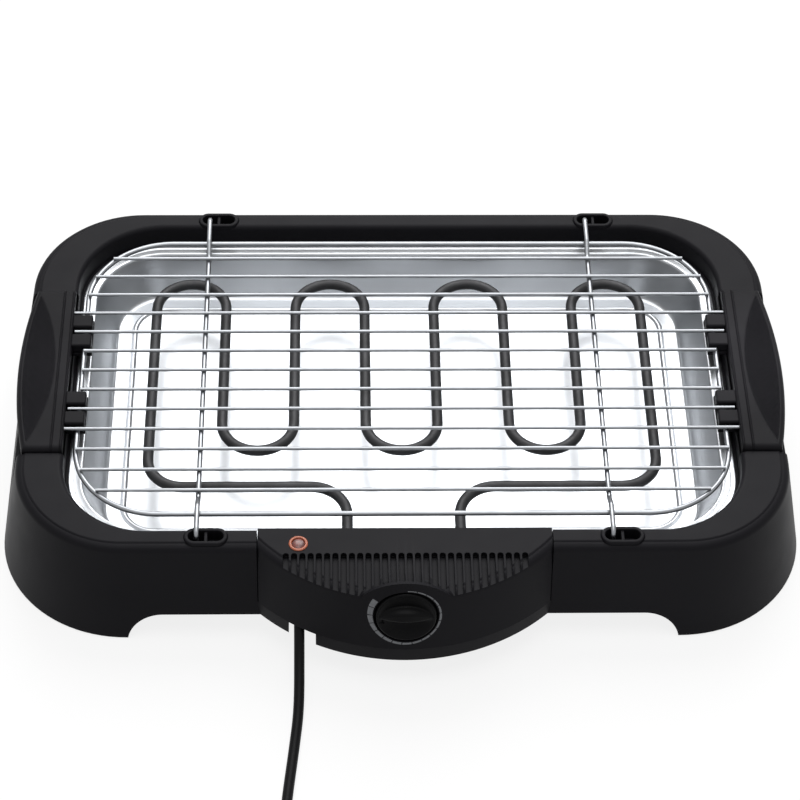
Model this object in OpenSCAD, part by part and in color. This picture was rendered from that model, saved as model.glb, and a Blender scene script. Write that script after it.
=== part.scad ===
// Tabletop electric grill: a black plastic frame round a bright drip tray, a
// lift-off wire rack with two cool-touch handles, and a lift-out control unit
// that carries the heating element. Millimetres, Z up, front towards -Y.

/* [Frame] */
// Width of the frame at the outer edge of its top
frame_w = 447; // [420:1:480]
// Depth of the frame at the outer edge of its top, front to back
frame_d = 273; // [255:1:300]
// Height of the frame's top above the table
frame_h = 67; // [62:1:80]
// Corner radius of the frame at its top
frame_r = 64; // [58:1:70]
// Lean of the outer walls, outwards per millimetre of drop
lean = 0.19; // [0.12:0.01:0.24]
// Width of the side bands of the top
side_band = 27; // [25:0.5:32]
// Width of the front and back bands of the top
end_band = 14; // [12:0.5:18]
// Corner radius of the opening
opening_r = 51; // [44:1:56]
// Wall of the plastic shells
wall = 2.5; // [2:0.1:3.2]
// Width of the bevel round the outer edge of the top
bevel = 3; // [1.5:0.5:4]
// Height under the raised front and back edges
arch_h = 18; // [12:1:20]
// Distance between the feet at the front and at the back
arch_w = 318; // [290:1:330]
// Radius of the curve from each foot up to the raised edge
arch_r = 21; // [20:1:30]
// Height of the rubber pads under the shell
pad_h = 1; // [0.6:0.1:2]

/* [Tray] */
// Depth of the tray's seat below the frame's top
seat_drop = 14; // [12:1:18]
// Width of the ledge that carries the tray
ledge_w = 8; // [6:0.5:10]
// Depth of the tray below its seat
tray_depth = 28; // [20:1:30]
// Thickness of the tray's sheet
sheet = 1; // [0.8:0.1:1.5]
// Lean of the tray's wall, inwards from rim to floor
tray_lean = 11; // [6:1:16]
// Gap between the tray's rim and the frame
tray_gap = 1.6; // [1.2:0.1:2.5]
// Distance of the floor bead from the edge of the tray's floor
bead_in = 9; // [6:1:14]

/* [Rack] */
// Gap from the rack's rim wire to the opening at the sides
rack_gap_x = 6.5; // [5.5:0.5:9]
// Gap from the rack's rim wire to the opening at the front and back
rack_gap_y = 12.5; // [10:0.5:16]
// Corner radius of the rim wire
rack_r = 50; // [40:1:54]
// Diameter of the rim wire
rim_wire = 3.2; // [2.6:0.1:3.6]
// Diameter of the long rods
rod_wire = 2.2; // [1.8:0.1:2.6]
// Diameter of the two leg wires
leg_wire = 3; // [2.6:0.1:3.4]
// Number of long rods
rod_count = 13; // [11:2:15]
// Height of the rim wire's centre below the frame's top
rim_drop = 2.2; // [1.6:0.1:3]
// Distance between the two leg wires
leg_span = 235.5; // [220:0.5:250]
// Height of the leg wires over the frame's top
leg_rise = 3; // [2.9:0.1:4]

/* [Leg sockets] */
// Length of a socket's oval rim
socket_w = 25; // [24.2:0.2:28]
// Width of a socket's oval rim
socket_d = 12.4; // [12:0.1:12.4]
// Length of the two holes and the bar between them
socket_hole_w = 19.6; // [18:0.2:21]
// Width of the holes
socket_hole_d = 7.4; // [6.8:0.1:7.6]
// Thickness of the bar between the holes
socket_bar = 1.8; // [1.4:0.1:2.4]
// Depth of the deep hole, which holds the rack low
socket_deep = 17; // [14:1:22]
// Depth of the shallow hole, which holds the rack high
socket_shallow = 7; // [5:1:10]
// Height of the socket's rim above the frame's top
socket_lip = 1.2; // [0.8:0.1:1.3]

/* [Handles] */
// Length of a handle
handle_l = 130; // [115:1:150]
// Height of a handle's top above the frame's top
handle_up = 3; // [2.6:0.2:5]
// Height of a handle's outer wall
handle_h = 18; // [14:1:22]
// How far the outer edge of a handle bows out at its middle
handle_bow = 7; // [5:0.5:9]
// Distance of a handle's outer edge, at its middle, past the frame's top edge
handle_out = 4.5; // [3:0.5:6]
// Depth of the thumb hollow at the handle's edge
thumb_depth = 2.2; // [1.4:0.1:2.6]
// Height of the finger gap under a handle's outer wall
finger_gap = 13; // [10:1:16]

/* [Heating element] */
// Diameter of the element's tube
tube_d = 6.4; // [5.8:0.1:7]
// Height of the element's centre below the frame's top
tube_drop = 16; // [15:0.5:18]
// Distance between neighbouring runs
run_pitch = 42.6; // [40:0.2:43.6]
// Distance of the front run from the ring's middle
tube_front = 78; // [74:1:84]
// Distance of the back bends' crests from the ring's middle
tube_back = 88; // [82:1:92]
// Distance of the front bends' crests from the ring's middle
tube_turn = 50; // [44:1:54]
// Distance between the two ends that enter the control unit
tube_ends = 65; // [56:1:74]

/* [Control unit] */
// Width of the control unit
unit_w = 166.6; // [160:0.2:172]
// Radius of the bowed front at the frame's top
bow_r = 112; // [108:1:118]
// How far the bow stands out in front of the frame's top at its middle
bow_out = 35.5; // [33:0.5:38]
// Height of the seam between the control unit and the frame below it
seam_h = 28; // [26:1:32]
// Gap between the control unit and the frame
unit_gap = 0.4; // [0.3:0.05:0.8]
// Thickness of the control unit's top
unit_top = 5.5; // [5:0.5:7]
// Number of vent grooves
vent_count = 30; // [20:1:32]
// Spacing of the vent grooves
vent_pitch = 4.63; // [4.4:0.01:4.8]
// Width of a vent groove
vent_w = 3.4; // [2.6:0.1:3.6]
// Depth of a vent groove
vent_depth = 3; // [2:0.1:3.4]
// Distance of the grooves' back ends from the unit's back edge
vent_start = 18; // [16:0.5:20]
// Length of the slit at the back end of each groove
vent_slit = 3; // [2:0.5:4]

/* [Dial and knob] */
// Height of the dial's centre
dial_h = 52; // [51:0.5:54]
// Radius of the raised surround of the dial
pod_r = 28.5; // [27:0.5:30]
// Height of the surround's centre below the dial's
pod_drop = 1.8; // [0:0.2:3]
// Slope of the surround's back towards the vents, in degrees
pod_slope = 28; // [24:1:34]
// Width of the plain lip between the grooves and the dial
pod_lip = 3.5; // [2.5:0.5:5]
// Diameter of the knob
knob_d = 34; // [31:0.5:35]
// Gap round the knob in its well
knob_gap = 1.2; // [0.8:0.1:1.6]
// Depth of the well that the knob turns in
well_depth = 7; // [6:0.5:9]
// Height of the knob's grip above its rim
grip_h = 4; // [3:0.5:6]
// Diameter of the knob's shaft
shaft_d = 6; // [5:0.5:6.5]

/* [Lamp] */
// Distance of the lamp from the unit's left side
lamp_side = 23.1; // [18:0.1:28]
// Distance of the lamp from the unit's back edge
lamp_in = 11.2; // [10:0.2:12]
// Diameter of the lamp's ring
lamp_d = 11; // [10:0.2:12]

/* [Mains lead] */
// Diameter of the mains lead
cord_d = 6; // [5.6:0.1:6.4]
// Width of the notch that the lead leaves through
notch_w = 15.4; // [14:0.2:18]
// Distance of the notch's middle from the unit's left side
notch_side = 25; // [23:0.5:27]

/* [Hidden] */
$fn = 96;
eps = 0.01;
// Spare length of a cutter past the solid that it cuts
past = 40;
// Depth of the inner walls' ends inside the outer face
skin = 1;

// Colours
plastic_colour = "#2b2a2d";
chrome_colour = "#c9ccd0";
tube_colour = "#2f2f31";
cord_colour = "#1b1b1d";

// The ring's middle lies behind the origin, because the control unit bows out
// in front. The origin is the middle of the whole footprint.
bow_y = frame_d / 2 + bow_out - bow_r;
bow_foot = bow_r + lean * (frame_h - arch_h);
front_reach = bow_y + bow_foot;
back_reach = frame_d / 2 + lean * (frame_h - pad_h);
ring_y = (front_reach - back_reach) / 2;

// Frame and tray
opening_w = frame_w - 2 * side_band;
opening_d = frame_d - 2 * end_band;
seat_h = frame_h - seat_drop;
back_face = -opening_d / 2;
ledge_open_w = opening_w - 2 * ledge_w;
ledge_open_d = opening_d - 2 * ledge_w;
ledge_open_r = opening_r - ledge_w;
ledge_t = 2;
pad_x = frame_w / 2 - side_band / 2;
pad_y = frame_d / 2 - 42;
pad_d = 15;
post_d = 12;
recess_w = unit_w + 2 * unit_gap;
pocket_y = back_face + 3.5;
tray_w = opening_w - 2 * tray_gap;
tray_d = opening_d - 2 * tray_gap;
tray_r = opening_r - tray_gap;
tray_in = ledge_w + 0.5;
floor_h = seat_h - tray_depth;
bead_w = tray_w - 2 * (tray_in + tray_lean + bead_in);
bead_d = tray_d - 2 * (tray_in + tray_lean + bead_in);
bead_r = 18;
bead_rib = 4;
bead_h = 1.2;
tube_gate = tube_ends + 17;

// Rack
rack_w = opening_w - 2 * rack_gap_x;
rack_d = opening_d - 2 * rack_gap_y;
rim_h = frame_h - rim_drop;
rod_h = rim_h + (rim_wire + rod_wire) / 2;
leg_low = rod_h - (rod_wire + leg_wire) / 2;
leg_high = frame_h + leg_rise;
rod_pitch = rack_d / (rod_count + 1);
socket_shift = (socket_hole_w + socket_bar) / 4;
socket_wall = 1.2;
socket_seat = 1.5;
socket_y = opening_d / 2 + socket_d / 2;

// Handles
handle_top = frame_h + handle_up;
handle_in = opening_w / 2 + 1;
handle_edge = frame_w / 2 + handle_out;
handle_arc = (pow(handle_l / 2, 2) + pow(handle_bow, 2)) / (2 * handle_bow);
handle_foot = handle_top - handle_h;
flange_foot = frame_h - 6.5;
bay_floor = handle_foot - finger_gap;
bay_l = handle_l + 1;
lug_l = 11.6;
lug_in = rack_w / 2 - rim_wire / 2 - 2.7;
clamp_t = 2;

// Element
tube_h = frame_h - tube_drop;
runs = 8;
tube_span = run_pitch * (runs - 1);
end_bend = 14;

// Control unit and dial
vent_floor = frame_h - vent_depth;
unit_back = back_face - 0.2;
unit_foot = seam_h + 0.3;
dial_tilt = atan(lean);
dial_y = -bow_y - bow_r - lean * (frame_h - dial_h);
cover_t = 2.5;
inside_h = unit_foot + cover_t + 0.1;
lamp_x = unit_w / 2 - lamp_side;
lamp_y = unit_back - lamp_in;
notch_x = unit_w / 2 - notch_side;
cord_x = -notch_x - 1.7;
seam_r = bow_r + lean * (frame_h - seam_h);
cord_mouth = [cord_x, -bow_y - sqrt(pow(seam_r, 2) - pow(cord_x, 2)) + 6.24, seam_h - 1];
sleeve_r = cord_d / 2 + 1.6;
sleeve_l = 22;
sleeve_start = 3;
clamp_w = 16;

// Route of the lead from its sleeve to the coil: across and forwards from the
// mouth, and up from the table
lead_points = [
    [0, 4, 23], [0, 12, 16], [0, 21, 10.5], [0, 31, 6.4], [0.2, 42, 4], [0.8, 53, 3], [1.9, 65, 3],
    [3.2, 78, 3], [4.6, 91, 3], [5.9, 104, 3], [6.9, 117, 3], [7.6, 130, 3.2], [7.9, 142, 3.5],
    [8, 154, 3.8], [8, 160, 3.9]
];
cord_route = concat(
    [cord_mouth],
    [for (p = lead_points) [cord_mouth[0] - p[0], cord_mouth[1] - p[1], p[2]]]
);

// Coil: it spirals in on the table, climbs a layer and spirals out again
coil_r = 35;
coil_pitch = 6.6;
coil_turns = 6.25;
coil_steps = 24;
coil_out = coil_r + coil_pitch * coil_turns / 4;
coil_x = cord_route[len(cord_route) - 1][0] + coil_out;
coil_y = cord_route[len(cord_route) - 1][1] - cord_d;
coil_z = cord_route[len(cord_route) - 1][2];
function coil_climb(t) = (1 - cos(180 * min(1, max(0, 2 * (t - coil_turns / 2) + 0.5)))) / 2;
function coil_point(t) =
    let (r = coil_out - coil_pitch * min(t, coil_turns - t), a = 180 + 360 * t)
    [coil_x + r * cos(a), coil_y + r * sin(a), coil_z + coil_pitch * coil_climb(t)];
coil_count = coil_turns * coil_steps;
coil_path = concat(
    [cord_route[len(cord_route) - 1]],
    [for (i = [0 : coil_count]) coil_point(i / coil_steps)],
    [coil_point(coil_turns) + [cord_d, 0, 0]]
);
coil_end = coil_path[len(coil_path) - 1];

// Last stretch, from the coil to the plug
plug_z = 18.7;
end_points = [
    [8.6875, 11], [17.6875, 12.4], [27.6875, 14.9], [37.6875, 17.1], [46.6875, 18.4],
    [54.6875, plug_z], [60.6875, plug_z]
];
end_route = concat([coil_end], [for (p = end_points) [coil_end[0] + p[0], coil_end[1], p[1]]]);
tie_t = 0.8;
tie_w = 9;

// Everything is drawn round the ring's middle and then set behind the origin.
module place() {
    translate([0, ring_y, 0]) children();
}

module both_sides() {
    children();
    mirror([1, 0, 0]) children();
}

// A flat rectangle with round corners, w by d, about the middle.
module rounded(w, d, r) {
    square([w - 2 * r, d], center = true);
    square([w, d - 2 * r], center = true);
    for (x = [-1, 1], y = [-1, 1])
        translate([x * (w / 2 - r), y * (d / 2 - r)]) circle(r);
}

// A rounded block whose walls lean: it is `low` larger all round at z0 and
// `high` larger at z1.
module leaning_block(w, d, r, z0, z1, low, high) {
    for (x = [-1, 1], y = [-1, 1])
        translate([x * (w / 2 - r), y * (d / 2 - r), z0])
            cylinder(h = z1 - z0, r1 = r + low, r2 = r + high);
    translate([-(w / 2 - r), 0, 0]) rotate([90, 0, 90])
        linear_extrude(w - 2 * r)
            polygon([[-d / 2 - low, z0], [d / 2 + low, z0],
                     [d / 2 + high, z1], [-d / 2 - high, z1]]);
    translate([0, d / 2 - r, 0]) rotate([90, 0, 0])
        linear_extrude(d - 2 * r)
            polygon([[-w / 2 - low, z0], [w / 2 + low, z0],
                     [w / 2 + high, z1], [-w / 2 - high, z1]]);
}

// Pieces of a bent tube. Each inner point is rounded with the bend radius.
function unit2(v) = v / norm(v);
function turn(a, b, c) =
    let (u = unit2(b - a), v = unit2(c - b))
    atan2(u[0] * v[1] - u[1] * v[0], u[0] * v[0] + u[1] * v[1]);
function cut_back(p, bend, i) =
    i <= 0 || i >= len(p) - 1 ? 0 : bend * tan(abs(turn(p[i - 1], p[i], p[i + 1])) / 2);

module straight_tube(a, b, d) {
    span = norm(b - a);
    if (span > 0.05)
        translate([a[0], a[1], 0])
            rotate([0, 0, atan2(b[1] - a[1], b[0] - a[0])])
                rotate([0, 90, 0]) cylinder(h = span, d = d, $fn = 20);
}

module tube_bend(a, b, c, bend, d) {
    angle = turn(a, b, c);
    side = angle > 0 ? 1 : -1;
    u = unit2(b - a);
    start = b - u * bend * tan(abs(angle) / 2);
    centre = start + [-u[1], u[0]] * bend * side;
    first = atan2(start[1] - centre[1], start[0] - centre[0]);
    translate([centre[0], centre[1], 0])
        rotate([0, 0, side > 0 ? first : first + angle])
            rotate_extrude(angle = abs(angle), $fn = 48) translate([bend, 0]) circle(d = d, $fn = 20);
}

// A round tube in the XY plane along the points p, an open path.
module bent_tube(p, bend, d) {
    for (i = [0 : len(p) - 2]) {
        u = unit2(p[i + 1] - p[i]);
        straight_tube(p[i] + u * cut_back(p, bend, i), p[i + 1] - u * cut_back(p, bend, i + 1), d);
    }
    for (i = [1 : len(p) - 2]) tube_bend(p[i - 1], p[i], p[i + 1], bend, d);
}

// A path with its inner corners rounded by arcs of radius bend.
function corner_arc(a, b, c, bend, steps) =
    let (u = unit2(b - a), v = unit2(c - b), half = acos(u * v) / 2, set_back = bend * tan(half))
    let (first = b - u * set_back, inward = unit2(v - u * (u * v)))
    [for (k = [0 : steps]) let (t = 2 * half * k / steps)
        first + u * bend * sin(t) + inward * bend * (1 - cos(t))];
function rounded_path(p, bend, steps) = concat(
    [p[0]],
    [for (i = [1 : len(p) - 2]) each corner_arc(p[i - 1], p[i], p[i + 1], bend, steps)],
    [p[len(p) - 1]]
);

// A faceted tube swept along the points p. `side` is square to the path's
// start and is carried along the path without twist.
function heading(p, i) = unit2(p[min(i + 1, len(p) - 1)] - p[max(i - 1, 0)]);
function square_to(u, t) = unit2(u - t * (u * t));
function carried(p, side) = [
    for (i = 0, u = square_to(side, heading(p, 0)); i < len(p);
         i = i + 1, u = i < len(p) ? square_to(u, heading(p, i)) : u) u
];

module swept_tube(p, d, sides, side) {
    n = len(p);
    across = carried(p, side);
    rings = [
        for (i = [0 : n - 1]) let (u = across[i], v = cross(heading(p, i), u))
            for (k = [0 : sides - 1]) let (a = 360 * k / sides)
                p[i] + (u * cos(a) + v * sin(a)) * d / 2
    ];
    skin = [
        for (i = [0 : n - 2], k = [0 : sides - 1])
            let (a = i * sides + k, b = i * sides + (k + 1) % sides)
            each [[a, a + sides, b], [b, a + sides, b + sides]]
    ];
    near_end = [for (k = [1 : sides - 2]) [0, k, k + 1]];
    last = (n - 1) * sides;
    far_end = [for (k = [1 : sides - 2]) [last, last + k + 1, last + k]];
    polyhedron(points = rings, faces = concat(skin, near_end, far_end));
}

// ---------------------------------------------------------------- base body

// The bowed front below and round the control unit, as a solid cone.
module bow_cone(z0, z1, inset) {
    translate([0, -bow_y, z0])
        cylinder(h = z1 - z0, r1 = bow_r + lean * (frame_h - z0) - inset,
                 r2 = bow_r + lean * (frame_h - z1) - inset, $fn = 180);
}

module frame_outside() {
    leaning_block(frame_w, frame_d, frame_r, pad_h, frame_h - 2,
                  lean * (frame_h - pad_h), lean * 2);
    leaning_block(frame_w, frame_d, frame_r, frame_h - 2, frame_h, lean * 2, -bevel);
}

module frame_inside() {
    leaning_block(frame_w, frame_d, frame_r, 0, frame_h - wall,
                  lean * frame_h - wall, lean * wall - wall);
}

// The cut between the feet, seen from the front.
module arch_shape() {
    reach = sqrt(pow(arch_r, 2) - pow(arch_r - arch_h, 2));
    translate([reach - arch_w / 2, -1]) square([arch_w - 2 * reach, arch_h + 1]);
    both_sides()
        translate([arch_w / 2 - reach, arch_h - arch_r]) circle(arch_r);
}

module control_pocket() {
    // The cut that the control unit drops into.
    translate([-recess_w / 2, -bow_y - bow_r - past, seam_h])
        cube([recess_w, bow_r + past + bow_y + back_face + 8, frame_h]);
}

module handle_bay() {
    translate([opening_w / 2, -bay_l / 2, bay_floor])
        cube([side_band + past, bay_l, frame_h]);
}

module base_frame() {
    color(plastic_colour) place() {
        difference() {
            union() {
                difference() {
                    frame_outside();
                    frame_inside();
                    translate([0, 0, seat_h - 20])
                        linear_extrude(frame_h) rounded(opening_w, opening_d, opening_r);
                    translate([0, frame_d, 0]) rotate([90, 0, 0])
                        linear_extrude(2 * frame_d) arch_shape();
                }
                // Inner wall with the tray's ledge
                difference() {
                    translate([0, 0, seat_h - ledge_t])
                        linear_extrude(frame_h - seat_h)
                            rounded(opening_w + 2 * wall, opening_d + 2 * wall, opening_r + wall);
                    translate([0, 0, seat_h])
                        linear_extrude(frame_h) rounded(opening_w, opening_d, opening_r);
                    translate([0, 0, seat_h - 10])
                        linear_extrude(frame_h) rounded(ledge_open_w, ledge_open_d, ledge_open_r);
                }
                handle_bay_walls();
                pad_posts();
            }
            control_pocket();
            socket_holes();
            both_sides() handle_bay();
        }
        handle_bay_shelf();
        control_shelf();
    }
}

// Cross walls that close the frame's hollow at the ends of each handle bay.
module handle_bay_walls() {
    both_sides()
        for (y = [-1, 1])
            intersection() {
                translate([opening_w / 2 + wall - eps, y * (bay_l + wall) / 2 - wall / 2, bay_floor - wall])
                    cube([side_band + past, wall, frame_h - bay_floor + wall - skin]);
                frame_middle();
            }
}

// The frame's full shape a little inside its outer face, to trim inner walls.
module frame_middle() {
    leaning_block(frame_w, frame_d, frame_r, pad_h + skin, frame_h - skin,
                  lean * (frame_h - pad_h - skin) - skin, lean * skin - 1.5 * skin);
}

module handle_bay_shelf() {
    both_sides()
        intersection() {
            union() {
                translate([opening_w / 2, -bay_l / 2 - wall + eps, bay_floor - wall])
                    cube([side_band + past, bay_l + 2 * wall - 2 * eps, wall]);
                translate([opening_w / 2, -bay_l / 2 + eps, bay_floor - wall])
                    cube([wall, bay_l - 2 * eps, flange_foot - 1 - bay_floor + wall]);
            }
            frame_middle();
        }
}

// Posts inside the shell that the rubber pads plug into.
module pad_posts() {
    for (x = [-1, 1], y = [-1, 1])
        translate([x * pad_x, y * pad_y, pad_h])
            cylinder(h = frame_h - pad_h - skin, d = post_d);
}

// Shelf, skirt and side walls under the control unit.
module control_shelf() {
    difference() {
        union() {
            intersection() {
                bow_cone(arch_h, seam_h, 0);
                translate([-recess_w / 2 - wall, -bow_y - bow_r - past, 0])
                    cube([recess_w + 2 * wall, bow_r + past + bow_y + pocket_y, seam_h]);
                shelf_rim();
            }
            // Back wall, which also carries the tray's ledge
            translate([-recess_w / 2 - wall, pocket_y - wall, arch_h])
                cube([recess_w + 2 * wall, wall, seat_h - ledge_t - arch_h]);
            // Side walls up to the frame's top
            both_sides()
                intersection() {
                    translate([recess_w / 2, -frame_d / 2 - past, arch_h])
                        cube([wall, frame_d / 2 + past + pocket_y, frame_h - arch_h - 1]);
                    frame_middle();
                    translate([0, 0, -1]) linear_extrude(frame_h + 2)
                        difference() {
                            square(2 * frame_w, center = true);
                            rounded(opening_w + 2, opening_d + 2, opening_r + 1);
                        }
                }
        }
        // Gate for the element's two ends
        translate([-tube_gate / 2, pocket_y - wall - 1, tube_h - tube_d])
            cube([tube_gate, wall + 2, frame_h]);
        // Notch and slot for the mains lead
        translate([-notch_x - notch_w / 2, -bow_y - bow_foot - 10, 0])
            cube([notch_w, bow_foot + 10 + bow_y + pocket_y - wall - 12, seam_h + 1]);
    }
}

// The skirt as a rim on a floor: what is kept of the bowed block.
module shelf_rim() {
    linear_extrude(arch_h + wall) square([2 * frame_w, 2 * frame_w], center = true);
    difference() {
        bow_cone(0, seam_h, 0);
        bow_cone(-1, seam_h + 1, wall);
    }
}

// Oval insert with a deep hole at its left and a shallow one at its right.
module leg_socket() {
    difference() {
        union() {
            translate([0, 0, frame_h - socket_seat]) linear_extrude(socket_seat + socket_lip)
                slot2d(socket_w, socket_d);
            translate([0, 0, frame_h - socket_deep - wall]) linear_extrude(socket_deep + wall)
                slot2d(socket_hole_w + 2 * socket_wall, socket_hole_d + 2 * socket_wall);
        }
        intersection() {
            translate([0, 0, frame_h - socket_deep]) linear_extrude(60) slot2d(socket_hole_w, socket_hole_d);
            union() {
                translate([-socket_w, -socket_d, frame_h - socket_deep])
                    cube([socket_w - socket_bar / 2, 2 * socket_d, 60]);
                translate([socket_bar / 2, -socket_d, frame_h - socket_shallow])
                    cube([socket_w, 2 * socket_d, 60]);
            }
        }
    }
}

module slot2d(w, d) {
    square([w - d, d], center = true);
    for (x = [-1, 1]) translate([x * (w - d) / 2, 0]) circle(d / 2);
}

module socket_places() {
    for (x = [-1, 1], y = [-1, 1])
        translate([x * leg_span / 2 + socket_shift, y * socket_y, 0]) children();
}

module socket_holes() {
    socket_places() {
        translate([0, 0, frame_h - socket_deep - 10]) linear_extrude(60)
            slot2d(socket_hole_w + 2 * socket_wall + 0.2, socket_hole_d + 2 * socket_wall + 0.2);
        translate([0, 0, frame_h - socket_seat]) linear_extrude(60)
            slot2d(socket_w + 0.2, socket_d + 0.2);
    }
}

module leg_sockets() {
    color(plastic_colour) place() socket_places() leg_socket();
}

module rubber_feet() {
    color("#19191a") place()
        for (x = [-1, 1], y = [-1, 1])
            translate([x * pad_x, y * pad_y, 0]) cylinder(h = pad_h, d1 = pad_d - 1, d2 = pad_d);
}

// ---------------------------------------------------------------- tray body

module tray_solid(inset, z0) {
    leaning_block(tray_w - 2 * tray_in, tray_d - 2 * tray_in, tray_r - tray_in, z0,
                  seat_h + sheet + (inset > 0 ? 1 : 0),
                  -tray_lean - inset, inset > 0 ? -inset + tray_lean / tray_depth : 0);
}

module drip_tray() {
    color(chrome_colour) place() {
        difference() {
            union() {
                tray_solid(0, floor_h);
                translate([0, 0, seat_h]) linear_extrude(sheet) rounded(tray_w, tray_d, tray_r);
            }
            tray_solid(sheet, floor_h + sheet);
            translate([-tube_gate / 2, -tray_d / 2 - 1, tube_h - tube_d])
                cube([tube_gate, 2 * tray_in, frame_h]);
        }
        // Raised bead round the floor
        translate([0, 0, floor_h + sheet - eps]) linear_extrude(bead_h) difference() {
            rounded(bead_w, bead_d, bead_r);
            rounded(bead_w - 2 * bead_rib, bead_d - 2 * bead_rib, bead_r - bead_rib);
        }
    }
}

// ------------------------------------------------------------- control body

// Moves its children from the origin, facing -Z inwards, onto the dial.
module on_dial(out = 0) {
    translate([0, dial_y, dial_h]) rotate([90 - dial_tilt, 0, 0]) translate([0, 0, out]) children();
}

module unit_plan(inset) {
    translate([-unit_w / 2 + inset, -bow_y - bow_r - past])
        square([unit_w - 2 * inset, bow_r + past + bow_y + unit_back - inset]);
}

// The surround is a thick tube that rises from the vents to the dial.
module pod_tube(r) {
    translate([0, dial_y, dial_h - pod_drop]) rotate([90 - pod_slope, 0, 0])
        translate([0, 0, -120]) cylinder(h = 160, r = r);
}

module vent_cutter() {
    difference() {
        for (i = [0 : vent_count - 1])
            translate([(i - (vent_count - 1) / 2) * vent_pitch - vent_w / 2,
                       -bow_y - bow_r - 30, vent_floor])
                cube([vent_w, bow_r + 30 + bow_y + unit_back - vent_start, 40]);
        pod_tube(pod_r - vent_depth);
        difference() {
            pod_tube(pod_r + 1);
            bow_cone(0, frame_h + past, pod_lip);
        }
    }
}

module vent_slits() {
    for (i = [0 : vent_count - 1])
        translate([(i - (vent_count - 1) / 2) * vent_pitch - vent_w / 2,
                   unit_back - vent_start - vent_slit, frame_h - unit_top - 1])
            cube([vent_w, vent_slit, unit_top]);
}

// The unit's outer shape, with the surround standing above the flat top.
module unit_outside() {
    difference() {
        intersection() {
            bow_cone(unit_foot, frame_h + 20, 0);
            linear_extrude(frame_h + 30) unit_plan(0);
        }
        difference() {
            translate([-unit_w, -frame_d, frame_h]) cube([2 * unit_w, 2 * frame_d, 40]);
            pod_tube(pod_r);
        }
    }
}

module unit_inside() {
    intersection() {
        bow_cone(0, frame_h - unit_top, wall);
        linear_extrude(frame_h) unit_plan(wall);
    }
    intersection() {
        bow_cone(0, frame_h + 20, wall + 0.5);
        linear_extrude(frame_h + 20) unit_plan(wall + 0.5);
        pod_tube(pod_r - vent_depth - 2);
    }
}

module control_housing() {
    color(plastic_colour) place() difference() {
        union() {
            difference() {
                unit_outside();
                unit_inside();
            }
            // Well that the knob turns in
            intersection() {
                on_dial(-well_depth - wall) cylinder(h = 30, d = knob_d + 2 * knob_gap + 2 * wall);
                bow_cone(inside_h, frame_h, 1);
            }
            screw_posts();
        }
        on_dial(-well_depth) cylinder(h = 30, d = knob_d + 2 * knob_gap);
        on_dial(-well_depth - wall - 5) cylinder(h = 30, d = shaft_d + 1);
        vent_cutter();
        vent_slits();
        for (x = [-1, 1])
            translate([x * tube_ends / 2, unit_back + 1, tube_h])
                rotate([90, 0, 0]) cylinder(h = wall + 2, d = tube_d + 0.6);
        translate([-lamp_x, lamp_y, frame_h - 20]) cylinder(h = 40, d = lamp_d - 2);
    }
}

post_back = unit_back - 10.3;
post_front = unit_back - 35.3;
post_places = [for (x = [-1, 1]) each [[x * (unit_w / 2 - 9.3), post_back], [x * 34, post_front]]];

module screw_posts() {
    for (p = post_places)
        translate([p[0], p[1], inside_h]) difference() {
            cylinder(h = frame_h - unit_top - unit_foot - cover_t, d = 7);
            translate([0, 0, -1]) cylinder(h = 12, d = 2.6);
        }
}

module control_cover() {
    color(plastic_colour) place() difference() {
        intersection() {
            bow_cone(unit_foot, unit_foot + cover_t, wall + 0.3);
            linear_extrude(frame_h) unit_plan(wall + 0.3);
        }
        for (p = post_places)
            translate([p[0], p[1], 0]) cylinder(h = frame_h, d = 3.4);
        along_lead(-20) cylinder(h = 60, r = sleeve_r + 0.9);
    }
}

module cover_screws() {
    color("#8d9094") place()
        for (p = post_places)
            translate([p[0], p[1], unit_foot]) {
                translate([0, 0, -1.6]) cylinder(h = 1.6, d = 5.4);
                translate([0, 0, -0.1]) cylinder(h = 10, d = 2.4);
            }
}

// Plan of the element from its left end round to its right end.
function run_x(i) = -tube_span / 2 + i * run_pitch;
tube_in_y = unit_back - wall - 9;

// Corners in order: up each even run, across the back, down each odd run and
// across the front.
element_points = concat(
    [[-tube_ends / 2, tube_in_y], [-tube_ends / 2, -tube_front], [run_x(0), -tube_front]],
    [for (i = [0 : 2 : runs - 1], k = [0 : 3])
        if (!(i == 0 && k == 0) && !(i == runs - 2 && k == 3))
            [run_x(k < 2 ? i : i + 1), k == 0 || k == 3 ? -tube_turn : tube_back]],
    [[run_x(runs - 1), -tube_front], [tube_ends / 2, -tube_front], [tube_ends / 2, tube_in_y]]
);

module heating_element() {
    color(tube_colour) place() translate([0, 0, tube_h]) {
        n = len(element_points);
        inner = [for (i = [2 : n - 3]) element_points[i]];
        // Serpentine between the two front corners
        bent_tube(concat([[run_x(0) + run_pitch, -tube_front]], inner, [[run_x(runs - 1) - run_pitch, -tube_front]]),
                  run_pitch / 2, tube_d);
        both_sides()
            bent_tube([[-run_x(0) - run_pitch, -tube_front], [tube_ends / 2, -tube_front], [tube_ends / 2, tube_in_y]],
                      end_bend, tube_d);
    }
}

module element_flange() {
    color("#b9bcc0") place() difference() {
        translate([-tube_ends / 2 - 12, unit_back - wall - 1.7, tube_h - 9])
            cube([tube_ends + 24, 1.5, 17]);
        for (x = [-1, 1])
            translate([x * tube_ends / 2, unit_back, tube_h])
                rotate([90, 0, 0]) cylinder(h = wall + 4, d = tube_d + 0.1);
    }
}

module element_terminals() {
    color("#d8d4c8") place()
        for (x = [-1, 1])
            translate([x * tube_ends / 2, tube_in_y, tube_h]) rotate([90, 0, 0]) {
                cylinder(h = 4, d1 = tube_d, d2 = 4.4);
                translate([0, 0, 4 - eps]) cylinder(h = 6, d = 2.6);
                translate([-2.5, -0.6, 9]) cube([5, 1.2, 5]);
            }
}

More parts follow.
